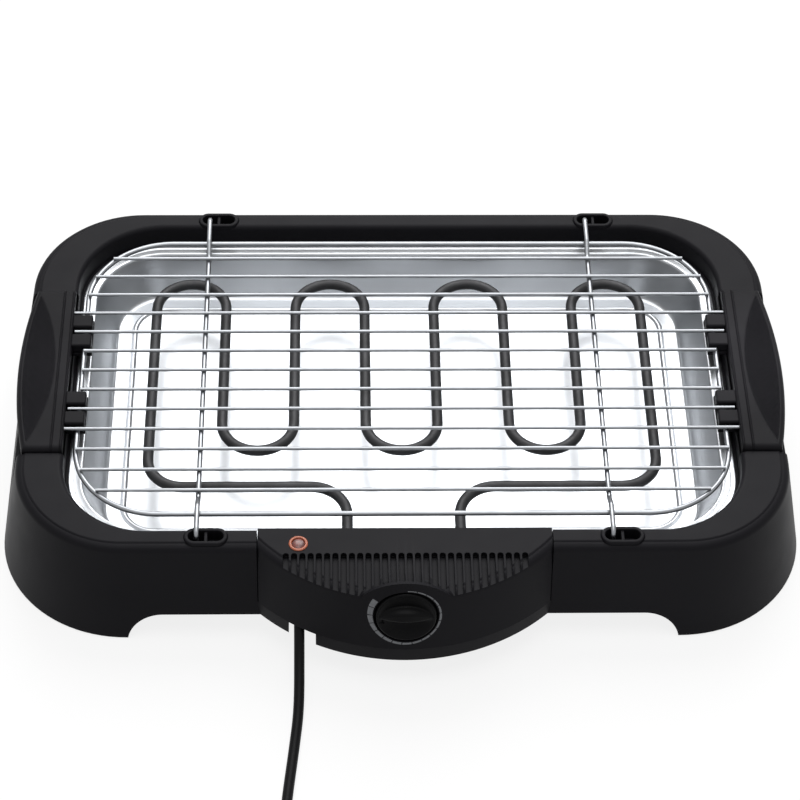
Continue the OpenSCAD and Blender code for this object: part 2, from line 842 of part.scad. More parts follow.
// Thermostat: a box on the dial's axis with a threaded neck to its bracket.
thermo_out = -well_depth - wall;
module thermostat() {
    color("#c8b28a") place() on_dial(thermo_out - 20) difference() {
        union() {
            translate([-13, -10, 0]) cube([26, 20, 16]);
            translate([0, 0, 16 - eps]) cylinder(h = 3.6, d = 11);
        }
        translate([0, 0, 8]) cylinder(h = 20, d = shaft_d + 0.4);
    }
}

module thermostat_bracket() {
    color("#b9bcc0") place() on_dial(thermo_out - 1.4) difference() {
        translate([-16, -9, 0]) cube([32, 18, 1.2]);
        translate([0, 0, -1]) cylinder(h = 5, d = 11.2);
    }
}

module lamp_bezel() {
    color("#a5583f") place() translate([-lamp_x, lamp_y, frame_h + 0.05]) difference() {
        union() {
            cylinder(h = 0.9, d1 = lamp_d, d2 = lamp_d - 0.8);
            translate([0, 0, -4]) cylinder(h = 4.1, d = lamp_d - 2.2);
        }
        translate([0, 0, -5]) cylinder(h = 10, d = lamp_d - 3.4);
    }
}

module lamp_lens() {
    color("#b4432f") place() translate([-lamp_x, lamp_y, frame_h - 4]) {
        cylinder(h = 4.4, d = lamp_d - 3.6);
        translate([0, 0, 4.4 - eps]) intersection() {
            cylinder(h = 1.2, d = lamp_d - 3.6);
            translate([0, 0, -6.6]) sphere(r = 7.8);
        }
    }
}

module neon_lamp() {
    color("#d9cfc2") place() translate([-lamp_x, lamp_y, frame_h - 4.2]) {
        translate([0, 0, -3]) cylinder(h = 2.9, d = 5);
        translate([0, 0, -12]) cylinder(h = 9 + eps, d = lamp_d - 2.4);
    }
}

block_place = [unit_w / 2 - 37.3, unit_back - 23.3];
module terminal_block() {
    color("#e6e2d6") place()
        translate([block_place[0] - 14, block_place[1] - 8, inside_h]) difference() {
            cube([28, 16, 12]);
            for (x = [5, 14, 23])
                translate([x, 8, 5]) cylinder(h = 10, d = 4);
        }
}

module thermal_fuse() {
    color("#cfd2d5") place()
        translate([0, unit_back - wall - 4.8, tube_h]) rotate([0, 90, 0]) {
            translate([0, 0, -8]) cylinder(h = 16, d = 5.6);
            translate([0, 0, -18]) cylinder(h = 36, d = 1.2);
        }
}

// Insulated wires inside the unit, each in a level of its own.
wire_h = unit_foot + cover_t + 1.6;
wire_step = 3.2;
module wire(p, level, d) {
    path = [for (q = p) [q[0], q[1], wire_h + level * wire_step]];
    swept_tube(rounded_path(path, 6, 3), d, 8, [0, 0, 1]);
}

module inner_wires() {
    block_left = block_place[0] - 15;
    color("#7a6a52") place() {
        translate([0, block_place[1], 0]) {
            wire([[cord_x + 14, 0], [cord_x + 30, -4], [4, 5], [block_left, -2]], 0, 2.2);
            wire([[cord_x + 14, 4], [cord_x + 30, 1], [4, 10], [block_left, 3]], 1, 2.2);
            wire([[-lamp_x, 17], [-38, 18], [26, 16], [block_place[0] - 4, 10]], 0, 1.8);
        }
    }
}

// The lead enters the unit at 45 degrees, through a tapered sleeve.
module along_lead(back = 0) {
    translate(cord_mouth) rotate([-45, 0, 0]) translate([0, 0, back]) children();
}

module cord_clamp() {
    color(plastic_colour) place() difference() {
        translate([cord_x - clamp_w / 2, cord_mouth[1] + 9, inside_h])
            cube([clamp_w, 11, 17]);
        along_lead(-10) cylinder(h = 60, r = sleeve_r + 0.1);
    }
}

module strain_relief() {
    color(cord_colour) place() along_lead() difference() {
        union() {
            translate([0, 0, sleeve_start])
                cylinder(h = sleeve_l - sleeve_start, r1 = cord_d / 2 + 0.9, r2 = sleeve_r);
            translate([0, 0, 2 * sleeve_start]) cylinder(h = 1.4, r = sleeve_r + 0.6);
        }
        translate([0, 0, -1]) cylinder(h = sleeve_l + 2, d = cord_d + 0.1);
    }
}

// The end of the lead inside the unit.
module cord_tail() {
    color(cord_colour) place() along_lead() cylinder(h = sleeve_l + 5, d = cord_d);
}

// ---------------------------------------------------------------- knob body

module knob() {
    color("#161617") place() on_dial(-well_depth + 0.6) difference() {
        union() {
            cylinder(h = well_depth - 1.4, d = knob_d);
            translate([0, 0, well_depth - 1.4 - eps])
                cylinder(h = 1.4, d1 = knob_d, d2 = knob_d - 2.4);
            intersection() {
                rotate([90, 0, 90]) linear_extrude(knob_d, center = true)
                    polygon([[-11, well_depth - 2], [11, well_depth - 2], [4, well_depth + 1],
                             [1.3, well_depth + grip_h - 1], [0, well_depth + grip_h],
                             [-1.3, well_depth + grip_h - 1], [-4, well_depth + 1]]);
                cylinder(h = 40, d = knob_d - 1);
                translate([0, 0, well_depth + grip_h - 32]) sphere(r = 32);
            }
        }
        translate([0, 0, -1]) cylinder(h = well_depth - 0.5, d = shaft_d + 0.2);
    }
}

module thermostat_shaft() {
    color("#b9bcc0") place() on_dial(-well_depth - wall - 11)
        cylinder(h = wall + 11 + well_depth - 1.4, d = shaft_d);
}

// ---------------------------------------------------------------- rack body

function rod_end(y) =
    abs(y) <= rack_d / 2 - rack_r ? rack_w / 2
    : rack_w / 2 - rack_r + sqrt(max(0, pow(rack_r, 2) - pow(abs(y) - rack_d / 2 + rack_r, 2)));

module rack_rim() {
    color(chrome_colour) place() translate([0, 0, rim_h]) {
        for (x = [-1, 1], y = [-1, 1])
            translate([x * (rack_w / 2 - rack_r), y * (rack_d / 2 - rack_r), 0])
                rotate([0, 0, x > 0 ? (y > 0 ? 0 : 270) : (y > 0 ? 90 : 180)])
                    rotate_extrude(angle = 90) translate([rack_r, 0]) circle(d = rim_wire, $fn = 32);
        for (y = [-1, 1])
            translate([-rack_w / 2 + rack_r, y * rack_d / 2, 0]) rotate([0, 90, 0])
                cylinder(h = rack_w - 2 * rack_r, d = rim_wire, $fn = 32);
        for (x = [-1, 1])
            translate([x * rack_w / 2, rack_d / 2 - rack_r, 0]) rotate([90, 0, 0])
                cylinder(h = rack_d - 2 * rack_r, d = rim_wire, $fn = 32);
    }
}

// Rods are numbered from the back. Two of them reach into the handles and two
// end between the handles' lugs.
mid_rod = (rod_count - 1) / 2;
long_rods = [mid_rod - 3, mid_rod + 3];
hook_rods = [mid_rod - 2, mid_rod + 2];
rod_in_handle = 10;
function has(list, v) = len([for (x = list) if (x == v) 1]) > 0;
function rod_y(i) = rack_d / 2 - (i + 1) * rod_pitch;
function rod_reach(i) =
    has(long_rods, i) ? handle_in + rod_in_handle
    : has(hook_rods, i) ? handle_in - 1.2
    : rod_end(rod_y(i));

module rack_rods() {
    color(chrome_colour) place()
        for (i = [0 : rod_count - 1])
            translate([-rod_reach(i), rod_y(i), rod_h + 0.02]) rotate([0, 90, 0])
                cylinder(h = 2 * rod_reach(i), d = rod_wire, $fn = 24);
}

// A leg wire runs under the rods, over the rim wire and down into two sockets.
leg_tip = frame_h - socket_deep + 0.4;
leg_corners = [
    [0, -socket_y, leg_tip], [0, -socket_y, leg_high],
    [0, -rack_d / 2 + 2, leg_high], [0, -rack_d / 2 + 11, leg_low - 0.02],
    [0, rack_d / 2 - 11, leg_low - 0.02], [0, rack_d / 2 - 2, leg_high],
    [0, socket_y, leg_high], [0, socket_y, leg_tip]
];
module rack_legs() {
    color(chrome_colour) place()
        for (x = [-1, 1])
            translate([x * leg_span / 2, 0, 0])
                swept_tube(rounded_path(leg_corners, 4.2, 4), leg_wire, 12, [1, 0, 0]);
}

module handle_plan(inset, inner) {
    intersection() {
        translate([handle_in + inner, -handle_l / 2 + inset])
            square([60, handle_l - 2 * inset]);
        translate([handle_edge - handle_arc, 0]) circle(handle_arc - inset, $fn = 720);
    }
}

lug_places = [for (s = [-1, 1], k = [-1, 1]) s * (rod_y(hook_rods[0]) + k * rod_pitch / 2)];
thumb_reach = 19;
thumb_half = handle_l / 2 - 4;

// The thumb hollow is a shallow cap of a large ball: its edge on the top is an
// arc that reaches thumb_reach in from the handle's outer edge.
module thumb_hollow() {
    edge = handle_edge - 3;
    near = edge - thumb_reach;
    far = handle_edge - handle_bow + 2;
    c = (pow(far, 2) + pow(thumb_half, 2) - pow(near, 2)) / (2 * (far - near));
    rho = c - near;
    h = (pow(rho, 2) - pow(c - edge, 2) - pow(thumb_depth, 2)) / (2 * thumb_depth);
    translate([c, 0, handle_top + h]) sphere(r = sqrt(pow(rho, 2) + pow(h, 2)), $fn = 200);
}

module handle() {
    difference() {
        union() {
            difference() {
                translate([0, 0, handle_foot]) linear_extrude(handle_h) handle_plan(0, 0);
                translate([0, 0, handle_foot - 1]) linear_extrude(handle_h - 3 + 1) handle_plan(wall, wall);
                // The inner and end walls stop above the frame's inner wall
                translate([handle_in - 1, -handle_l, handle_foot - 1])
                    cube([wall + 3, 2 * handle_l, flange_foot - handle_foot + 1]);
            }
            // Two raised lines beside the thumb hollow
            for (x = [0.9, 6.4])
                translate([handle_in + x, -handle_l / 2 + 3, handle_top - eps])
                    cube([1.4, handle_l - 6, 0.8]);
            // Lugs over the rim wire
            for (y = lug_places)
                translate([lug_in, y - lug_l / 2, rim_h - rim_wire / 2 - 0.4])
                    cube([handle_in + 4 - lug_in, lug_l, handle_top - 0.6 - rim_h + rim_wire / 2 + 0.4]);
            // Posts for the clamp screws
            for (y = [-1, 1])
                translate([handle_in + 7, y * rod_y(hook_rods[0]), clamp_top + 0.05])
                    cylinder(h = handle_top - 2 - clamp_top, d = 7);
            // Blocks round the two long rods
            for (i = long_rods)
                translate([handle_in, rod_y(i) - 4, flange_foot])
                    cube([rod_in_handle + 3, 8, handle_top - 2 - flange_foot]);
        }
        for (y = lug_places)
            translate([rack_w / 2 - rim_wire / 2 - 0.3, y - lug_l, 0])
                cube([rim_wire + 0.6, 2 * lug_l, rim_h + rim_wire / 2 + 0.25]);
        // Room for the clamp plates
        for (y = [-1, 1])
            translate([lug_in - 1, y * rod_y(hook_rods[0]) - clamp_l / 2 - 0.2, 0])
                cube([handle_in + 12.3 - lug_in, clamp_l + 0.4, clamp_top + 0.05]);
        for (i = long_rods)
            translate([handle_in - 1, rod_y(i), rod_h]) rotate([0, 90, 0])
                cylinder(h = rod_in_handle + 1.4, d = rod_wire + 0.3, $fn = 24);
        thumb_hollow();
        for (y = [-1, 1])
            translate([handle_in + 7, y * rod_y(hook_rods[0]), flange_foot - 1])
                cylinder(h = 7.4, d = 2.2, $fn = 24);
    }
}

module handle_left() {
    color(plastic_colour) place() mirror([1, 0, 0]) handle();
}

module handle_right() {
    color(plastic_colour) place() handle();
}

// Plates that close the lugs from below.
clamp_top = rim_h - rim_wire / 2 - 0.45;
clamp_l = rod_pitch + lug_l;
module handle_clamps() {
    color("#3a393c") place() both_sides()
        for (y = [-1, 1])
            translate([lug_in, y * rod_y(hook_rods[0]) - clamp_l / 2, clamp_top - clamp_t])
                difference() {
                    cube([handle_in + 11 - lug_in, clamp_l, clamp_t]);
                    translate([handle_in + 7 - lug_in, clamp_l / 2, -1])
                        cylinder(h = 5, d = 2.8, $fn = 24);
                }
}

module handle_screws() {
    color("#8d9094") place() both_sides()
        for (y = [-1, 1])
            translate([handle_in + 7, y * rod_y(hook_rods[0]), clamp_top - clamp_t]) {
                translate([0, 0, -1.5]) cylinder(h = 1.45, d = 5);
                translate([0, 0, -0.1]) cylinder(h = 6, d = 2, $fn = 24);
            }
}

// -------------------------------------------------------------- mains lead

module cord_run() {
    color(cord_colour) place() swept_tube(cord_route, cord_d, 10, [1, 0, 0]);
}

module cord_coil() {
    half_turn = coil_steps / 2;
    gaps = [
        for (i = [1 : coil_count], j = [i + half_turn : 1 : coil_count])
            norm(coil_path[i] - coil_path[j])
    ];
    echo(least_gap_of_the_coil = min(gaps) - cord_d);
    color(cord_colour) place() swept_tube(coil_path, cord_d, 6, [1, 0, 0]);
}

module cord_end() {
    color(cord_colour) place() swept_tube(end_route, cord_d, 10, [0, 1, 0]);
}

// A strap round the turns at the coil's right.
module cord_tie() {
    near = coil_out - coil_pitch * coil_turns / 2 - cord_d / 2 - 0.6;
    far = coil_out + cord_d / 2 + 0.6;
    low = coil_z - cord_d / 2 - 0.1;
    high = coil_z + coil_pitch + cord_d / 2 + 0.2;
    color("#3a3a3c") place() translate([coil_x, coil_y, 0]) rotate([90, 0, 0])
        linear_extrude(tie_w, center = true) difference() {
            translate([near - tie_t, low - tie_t]) square([far - near + 2 * tie_t, high - low + 2 * tie_t]);
            translate([near, low]) square([far - near, high - low]);
        }
}

// Round earthed plug, lying on its rim: tail, grip and front disc.
plug_start = end_route[len(end_route) - 1];
plug_r = 18.6;
module plug_body() {
    color(cord_colour) place() translate(plug_start) rotate([0, 90, 0]) difference() {
        rotate_extrude()
            polygon([[0, 0], [cord_d / 2 + 0.8, 0], [cord_d / 2 + 2.2, 22], [12.5, 27], [14, 33],
                     [14, 40], [plug_r - 0.8, 43], [plug_r, 44], [plug_r, 57], [plug_r - 1, 58], [0, 58]]);
        for (x = [-1, 1])
            translate([x * plug_r, 0, 52]) cube([4, 8, 14], center = true);
        translate([-10.2, 0, 44]) cylinder(h = 20, d = 5.2);
    }
}

// Earth strips in the two slots of the plug's rim.
module plug_earth_clips() {
    color("#b08d4f") place() translate(plug_start) rotate([0, 90, 0])
        for (x = [-1, 1])
            translate([x * (plug_r - 1.2), 0, 51.5]) cube([1, 5, 13], center = true);
}

module plug_pins() {
    color("#c9ccd0") place() translate(plug_start) rotate([0, 90, 0])
        for (y = [-1, 1])
            translate([0, y * 9.5, 58]) cylinder(h = 19, d = 4.8);
}

base_frame();
leg_sockets();
rubber_feet();
drip_tray();
control_housing();
control_cover();
cover_screws();
heating_element();
element_flange();
element_terminals();
thermostat();
thermostat_bracket();
lamp_bezel();
lamp_lens();
neon_lamp();
terminal_block();
thermal_fuse();
inner_wires();
cord_clamp();
strain_relief();
cord_tail();
knob();
thermostat_shaft();
rack_rim();
rack_rods();
rack_legs();
handle_left();
handle_right();
handle_clamps();
handle_screws();
cord_run();
cord_coil();
cord_end();
cord_tie();
plug_body();
plug_pins();
plug_earth_clips();
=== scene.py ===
"""Looks of a tabletop electric grill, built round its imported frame.

Sizes are millimetres round the middle of the grill's ring, with the table at
height 0. A finished piece is turned into metres in the frame's own place.
"""
import logging
import math
from contextlib import contextmanager
from dataclasses import dataclass
from enum import Enum
from typing import Callable, Iterable, Iterator, Optional, Sequence

import bmesh
import bpy
from mathutils import Matrix, Vector


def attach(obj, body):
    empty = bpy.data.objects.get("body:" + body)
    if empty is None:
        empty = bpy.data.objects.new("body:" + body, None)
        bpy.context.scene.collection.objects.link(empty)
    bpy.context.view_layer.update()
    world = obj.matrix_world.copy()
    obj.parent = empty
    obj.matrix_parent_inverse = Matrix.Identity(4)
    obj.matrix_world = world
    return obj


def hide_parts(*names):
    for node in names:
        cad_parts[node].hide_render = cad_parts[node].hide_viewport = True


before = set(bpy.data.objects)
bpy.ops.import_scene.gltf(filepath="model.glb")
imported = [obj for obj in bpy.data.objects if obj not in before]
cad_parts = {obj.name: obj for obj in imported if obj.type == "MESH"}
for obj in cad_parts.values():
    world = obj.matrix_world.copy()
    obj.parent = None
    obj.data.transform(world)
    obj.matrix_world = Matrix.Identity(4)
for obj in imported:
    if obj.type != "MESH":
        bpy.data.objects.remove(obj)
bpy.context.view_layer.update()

LOG = logging.getLogger("grill")
MM = 0.001
RING_Y = 16.135
Numbers = Sequence[float]


class Body(Enum):
    """The frame's moving bodies."""

    BASE = "base"
    TRAY = "tray"
    CONTROL = "control"
    KNOB = "knob"
    RACK = "rack"


class Cut(Enum):
    """What one solid does to another."""

    REMOVE = "DIFFERENCE"
    JOIN = "UNION"
    KEEP_COMMON = "INTERSECT"


# ------------------------------------------------------------------ workbench


def only(obj: bpy.types.Object) -> None:
    """Selects one object alone and makes it the active one.

    Args:
        obj: The object to work on.
    """
    for other in bpy.context.selected_objects:
        other.select_set(False)
    obj.select_set(True)
    bpy.context.view_layer.objects.active = obj


class Bench:
    """One mesh on the workbench, in millimetres round the ring's middle."""

    def __init__(self, name: str, obj: Optional[bpy.types.Object] = None) -> None:
        """Takes an object, or the one that was just added, and names it.

        Args:
            name: The piece's name.
            obj: The object, or None for the active one.
        """
        self.obj = obj or bpy.context.object
        self.obj.name = name
        self.obj.data.name = name

    # ---- starts

    @classmethod
    def plate(cls, name: str, size: Numbers, radius: float, z: float,
              steps: int = 16) -> "Bench":
        """Makes a flat rectangle with round corners.

        Args:
            name: The piece's name.
            size: Width and depth.
            radius: The corner radius.
            z: Its height.
            steps: Edges in each corner.

        Returns:
            The new mesh, of one face.
        """
        bpy.ops.mesh.primitive_plane_add(size=1, location=(0, 0, z))
        bench = cls(name)
        bench.obj.scale = (size[0], size[1], 1)
        bench.settle()
        if radius:
            with bench.editing():
                bpy.ops.mesh.bevel(offset=radius, segments=steps, affect="VERTICES")
                bpy.ops.mesh.select_all(action="SELECT")
                bench.weld(0.02)
        return bench

    @classmethod
    def prism(cls, name: str, size: Numbers, radius: float, span: Numbers,
              steps: int = 12) -> "Bench":
        """Makes an upright block with round corners.

        Args:
            name: The piece's name.
            size: Width and depth.
            radius: The corner radius.
            span: Lowest and highest z.
            steps: Edges in each corner.

        Returns:
            The closed block.
        """
        bench = cls.plate(name, size, radius, span[0], steps)
        with bench.editing():
            bench.extrude((0, 0, span[1] - span[0]))
            bench.face_out()
        return bench

    @classmethod
    def box(cls, name: str, low: Numbers, high: Numbers) -> "Bench":
        """Makes a block between two corners.

        Args:
            name: The piece's name.
            low: The lowest corner.
            high: The highest corner.

        Returns:
            The closed block.
        """
        middle = [(a + b) / 2 for a, b in zip(low, high)]
        bpy.ops.mesh.primitive_cube_add(size=1, location=middle)
        bench = cls(name)
        bench.obj.scale = [b - a for a, b in zip(low, high)]
        bench.settle()
        return bench

    @classmethod
    def drum(cls, name: str, radii: Numbers, span: Numbers, place: Numbers = (0, 0),
             sides: int = 64) -> "Bench":
        """Makes an upright cylinder or cone stump.

        Args:
            name: The piece's name.
            radii: Radius at the foot and at the top.
            span: Lowest and highest z.
            place: X and Y of its axis.
            sides: Number of sides.

        Returns:
            The closed stump.
        """
        bpy.ops.mesh.primitive_cone_add(
            vertices=sides, radius1=radii[0], radius2=radii[1], depth=span[1] - span[0],
            location=(place[0], place[1], (span[0] + span[1]) / 2))
        bench = cls(name)
        bench.settle()
        return bench

    @classmethod
    def turned(cls, name: str, profile: Sequence[Numbers], sides: int = 64) -> "Bench":
        """Turns a profile once round the Z axis.

        Args:
            name: The piece's name.
            profile: Points of radius and height.
            sides: Number of sides.

        Returns:
            The turned mesh, closed where the profile meets the axis.
        """
        bpy.ops.mesh.primitive_plane_add(size=1)
        bench = cls(name)
        with bench.editing(kind="VERT"):
            bpy.ops.mesh.merge(type="CENTER")
            bpy.ops.transform.translate(value=(profile[0][0], 0, profile[0][1]))
            for a, b in zip(profile, profile[1:]):
                bench.extrude((b[0] - a[0], 0, b[1] - a[1]))
            bpy.ops.mesh.select_all(action="SELECT")
            bpy.ops.mesh.spin(steps=sides, angle=2 * math.pi, center=(0, 0, 0), axis=(0, 0, 1))
            bench.weld()
            bench.face_out()
        return bench

    @classmethod
    def tube(cls, name: str, corners: Sequence[Numbers], bend: float, diameter: float,
             sides: int = 16, steps: int = 10, closed: bool = False) -> "Bench":
        """Draws a round wire along corners, with a spun bend at each inner one.

        Args:
            name: The piece's name.
            corners: The wire's corner points. A closed wire starts on a straight
                and names its first point again at the end.
            bend: Radius of the bends at the wire's middle.
            diameter: The wire's diameter.
            sides: Sides of the wire.
            steps: Steps in each bend.
            closed: Whether the wire is one ring.

        Returns:
            The wire, with flat ends unless it is closed.
        """
        points = [Vector(p) for p in corners]
        ways = [(b - a).normalized() for a, b in zip(points, points[1:])]
        turn = ways[0].to_track_quat("Z", "Y").to_euler()
        bpy.ops.mesh.primitive_circle_add(
            vertices=sides, radius=diameter / 2, location=points[0], rotation=turn)
        bench = cls(name)
        bench.settle()
        backs = [0.0]
        for way, following in zip(ways, ways[1:]):
            backs.append(bend * math.tan(way.angle(following) / 2))
        backs.append(0.0)
        with bench.editing(kind="EDGE"):
            for i, way in enumerate(ways):
                run = (points[i + 1] - points[i]).length - backs[i] - backs[i + 1]
                if run > 1e-3:
                    bench.extrude(way * run)
                if i + 1 < len(ways):
                    following = ways[i + 1]
                    inward = (following - way * way.dot(following)).normalized()
                    bpy.ops.mesh.spin(
                        steps=steps, angle=-way.angle(following),
                        center=points[i + 1] - way * backs[i + 1] + inward * bend,
                        axis=way.cross(following).normalized())
            bpy.ops.mesh.select_all(action="SELECT")
            bench.weld()
            if not closed:
                bpy.ops.mesh.fill_holes(sides=0)
            bpy.ops.mesh.select_all(action="SELECT")
            bench.face_out()
        return bench

    # ---- edit mode

    @contextmanager
    def editing(self, kind: str = "FACE") -> Iterator[None]:
        """Opens the mesh for editing, with all of it selected.

        Args:
            kind: What is selected: VERT, EDGE or FACE.

        Yields:
            Nothing: the work is done by operators.
        """
        only(self.obj)
        bpy.ops.object.mode_set(mode="EDIT")
        bpy.ops.mesh.select_mode(type=kind)
        bpy.ops.mesh.select_all(action="SELECT")
        yield
        bpy.ops.object.mode_set(mode="OBJECT")

    def pick(self, kind: str, test: Callable[[Vector, object], bool]) -> None:
        """Selects the faces, edges or vertices that pass a test, in edit mode.

        Args:
            kind: VERT, EDGE or FACE.
            test: Gets the element's middle and the element itself.
        """
        bpy.ops.mesh.select_mode(type=kind)
        bpy.ops.mesh.select_all(action="DESELECT")
        mesh = bmesh.from_edit_mesh(self.obj.data)
        if kind == "FACE":
            for f in mesh.faces:
                f.select_set(test(f.calc_center_median(), f))
        elif kind == "EDGE":
            for e in mesh.edges:
                e.select_set(test((e.verts[0].co + e.verts[1].co) / 2, e))
        else:
            for v in mesh.verts:
                v.select_set(test(v.co, v))
        mesh.select_flush_mode()
        bmesh.update_edit_mesh(self.obj.data)

    def rings(self, steps: Iterable[Numbers]) -> None:
        """Insets the chosen face again and again.

        Args:
            steps: For each ring, how far inwards and how far along the normal.
        """
        for inwards, along in steps:
            bpy.ops.mesh.inset(thickness=inwards, depth=along, use_even_offset=True)

    def extrude(self, way: Numbers) -> None:
        """Extrudes what is chosen.

        Args:
            way: The move, in millimetres.
        """
        bpy.ops.mesh.extrude_region_move(TRANSFORM_OT_translate={"value": tuple(way)})

    def weld(self, gap: float = 1e-3) -> None:
        """Merges vertices that lie nearer than the gap."""
        bpy.ops.mesh.remove_doubles(threshold=gap)

    def face_out(self) -> None:
        """Turns the faces outwards."""
        bpy.ops.mesh.normals_make_consistent(inside=False)

    def bridge(self, test: Callable[[Vector, object], bool]) -> None:
        """Joins the open edge loops whose edges pass a test.

        Args:
            test: Gets an edge's middle and the edge.
        """
        self.pick("EDGE", lambda p, e: e.is_boundary and test(p, e))
        bpy.ops.mesh.bridge_edge_loops()

    # ---- object mode

    def settle(self) -> None:
        """Moves the object's place, turn and scale into its mesh."""
        only(self.obj)
        bpy.ops.object.transform_apply(location=True, rotation=True, scale=True)

    def put(self, matrix: Matrix) -> "Bench":
        """Moves the mesh by a matrix.

        Args:
            matrix: The move.

        Returns:
            The bench itself.
        """
        self.obj.matrix_world = matrix
        self.settle()
        return self

    def shape(self, move: Callable[[Vector], Numbers]) -> None:
        """Puts each vertex where a function says.

        Args:
            move: Gets a vertex's place and returns the new one.
        """
        for v in self.obj.data.vertices:
            v.co = move(v.co)
        self.obj.data.update()

    def modify(self, kind: str, **values: object) -> None:
        """Adds a modifier and applies it.

        Args:
            kind: The modifier's type.
            values: Its settings.
        """
        only(self.obj)
        modifier = self.obj.modifiers.new(kind.lower(), kind)
        for key, value in values.items():
            setattr(modifier, key, value)
        bpy.ops.object.modifier_apply(modifier=modifier.name)

    def combine(self, other: "Bench", how: Cut) -> None:
        """Cuts or joins with another solid, which is used up.

        Args:
            other: The other solid.
            how: What it does.
        """
        self.modify("BOOLEAN", operation=how.value, solver="EXACT", object=other.obj)
        bpy.data.objects.remove(other.obj)

    def join(self, others: Iterable["Bench"]) -> "Bench":
        """Takes other meshes into this one.

        Args:
            others: The other meshes, which are used up.

        Returns:
            The bench itself.
        """
        only(self.obj)
        for other in others:
            other.obj.select_set(True)
        bpy.ops.object.join()
        return self

    def copy(self, name: str) -> "Bench":
        """Copies the mesh under a new name.

        Args:
            name: The copy's name.

        Returns:
            The copy.
        """
        obj = bpy.data.objects.new(name, self.obj.data.copy())
        bpy.context.scene.collection.objects.link(obj)
        return Bench(name, obj)

    def mirrored(self, name: str) -> "Bench":
        """Copies the mesh to the other side of X = 0.

        Args:
            name: The copy's name.

        Returns:
            The copy.
        """
        twin = self.copy(name)
        twin.shape(lambda p: (-p.x, p.y, p.z))
        with twin.editing():
            bpy.ops.mesh.flip_normals()
        return twin

    def soften(self, width: float, segments: int = 2, angle: float = 35) -> "Bench":
        """Rounds the sharp edges and returns the bench.

        Args:
            width: Width of the rounding.
            segments: Its steps.
            angle: Edges sharper than this many degrees are rounded.

        Returns:
            The bench itself.
        """
        self.modify("BEVEL", width=width, segments=segments, limit_method="ANGLE",
                    angle_limit=math.radians(angle), use_clamp_overlap=True,
                    harden_normals=False, miter_outer="MITER_ARC")
        return self

    def finish(self, finish: "Finish", body: Body, slot: str, *nodes: str,
               smooth: float = 38) -> bpy.types.Object:
        """Sets the piece into the frame and dresses it.

        Args:
            finish: Its finish.
            body: The body that it moves with.
            slot: The record's material slot.
            nodes: The frame's nodes that it stands for.
            smooth: Edges flatter than this many degrees are shaded smooth.

        Returns:
            The finished object.
        """
        self.put(Matrix.Translation((0, RING_Y * MM, 0)) @ Matrix.Scale(MM, 4))
        only(self.obj)
        bpy.ops.object.shade_smooth_by_angle(angle=math.radians(smooth))
        self.modify("WEIGHTED_NORMAL", keep_sharp=True, weight=100)
        self.obj.data.materials.clear()
        self.obj.data.materials.append(finish.material())
        return enrol(self.obj, body, slot, *nodes)


def enrol(obj: bpy.types.Object, body: Body, slot: str, *nodes: str) -> bpy.types.Object:
    """Lets a piece ride on its body and stand for its nodes.

    Args:
        obj: The piece.
        body: The body that it moves with.
        slot: The record's material slot. Not used.
        nodes: The nodes that it stands for.

    Returns:
        The piece.
    """
    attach(obj, body.value)
    if nodes:
        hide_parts(*nodes)
    LOG.info("%s rides on %s", obj.name, body.value)
    return obj


# ------------------------------------------------------------------- finishes


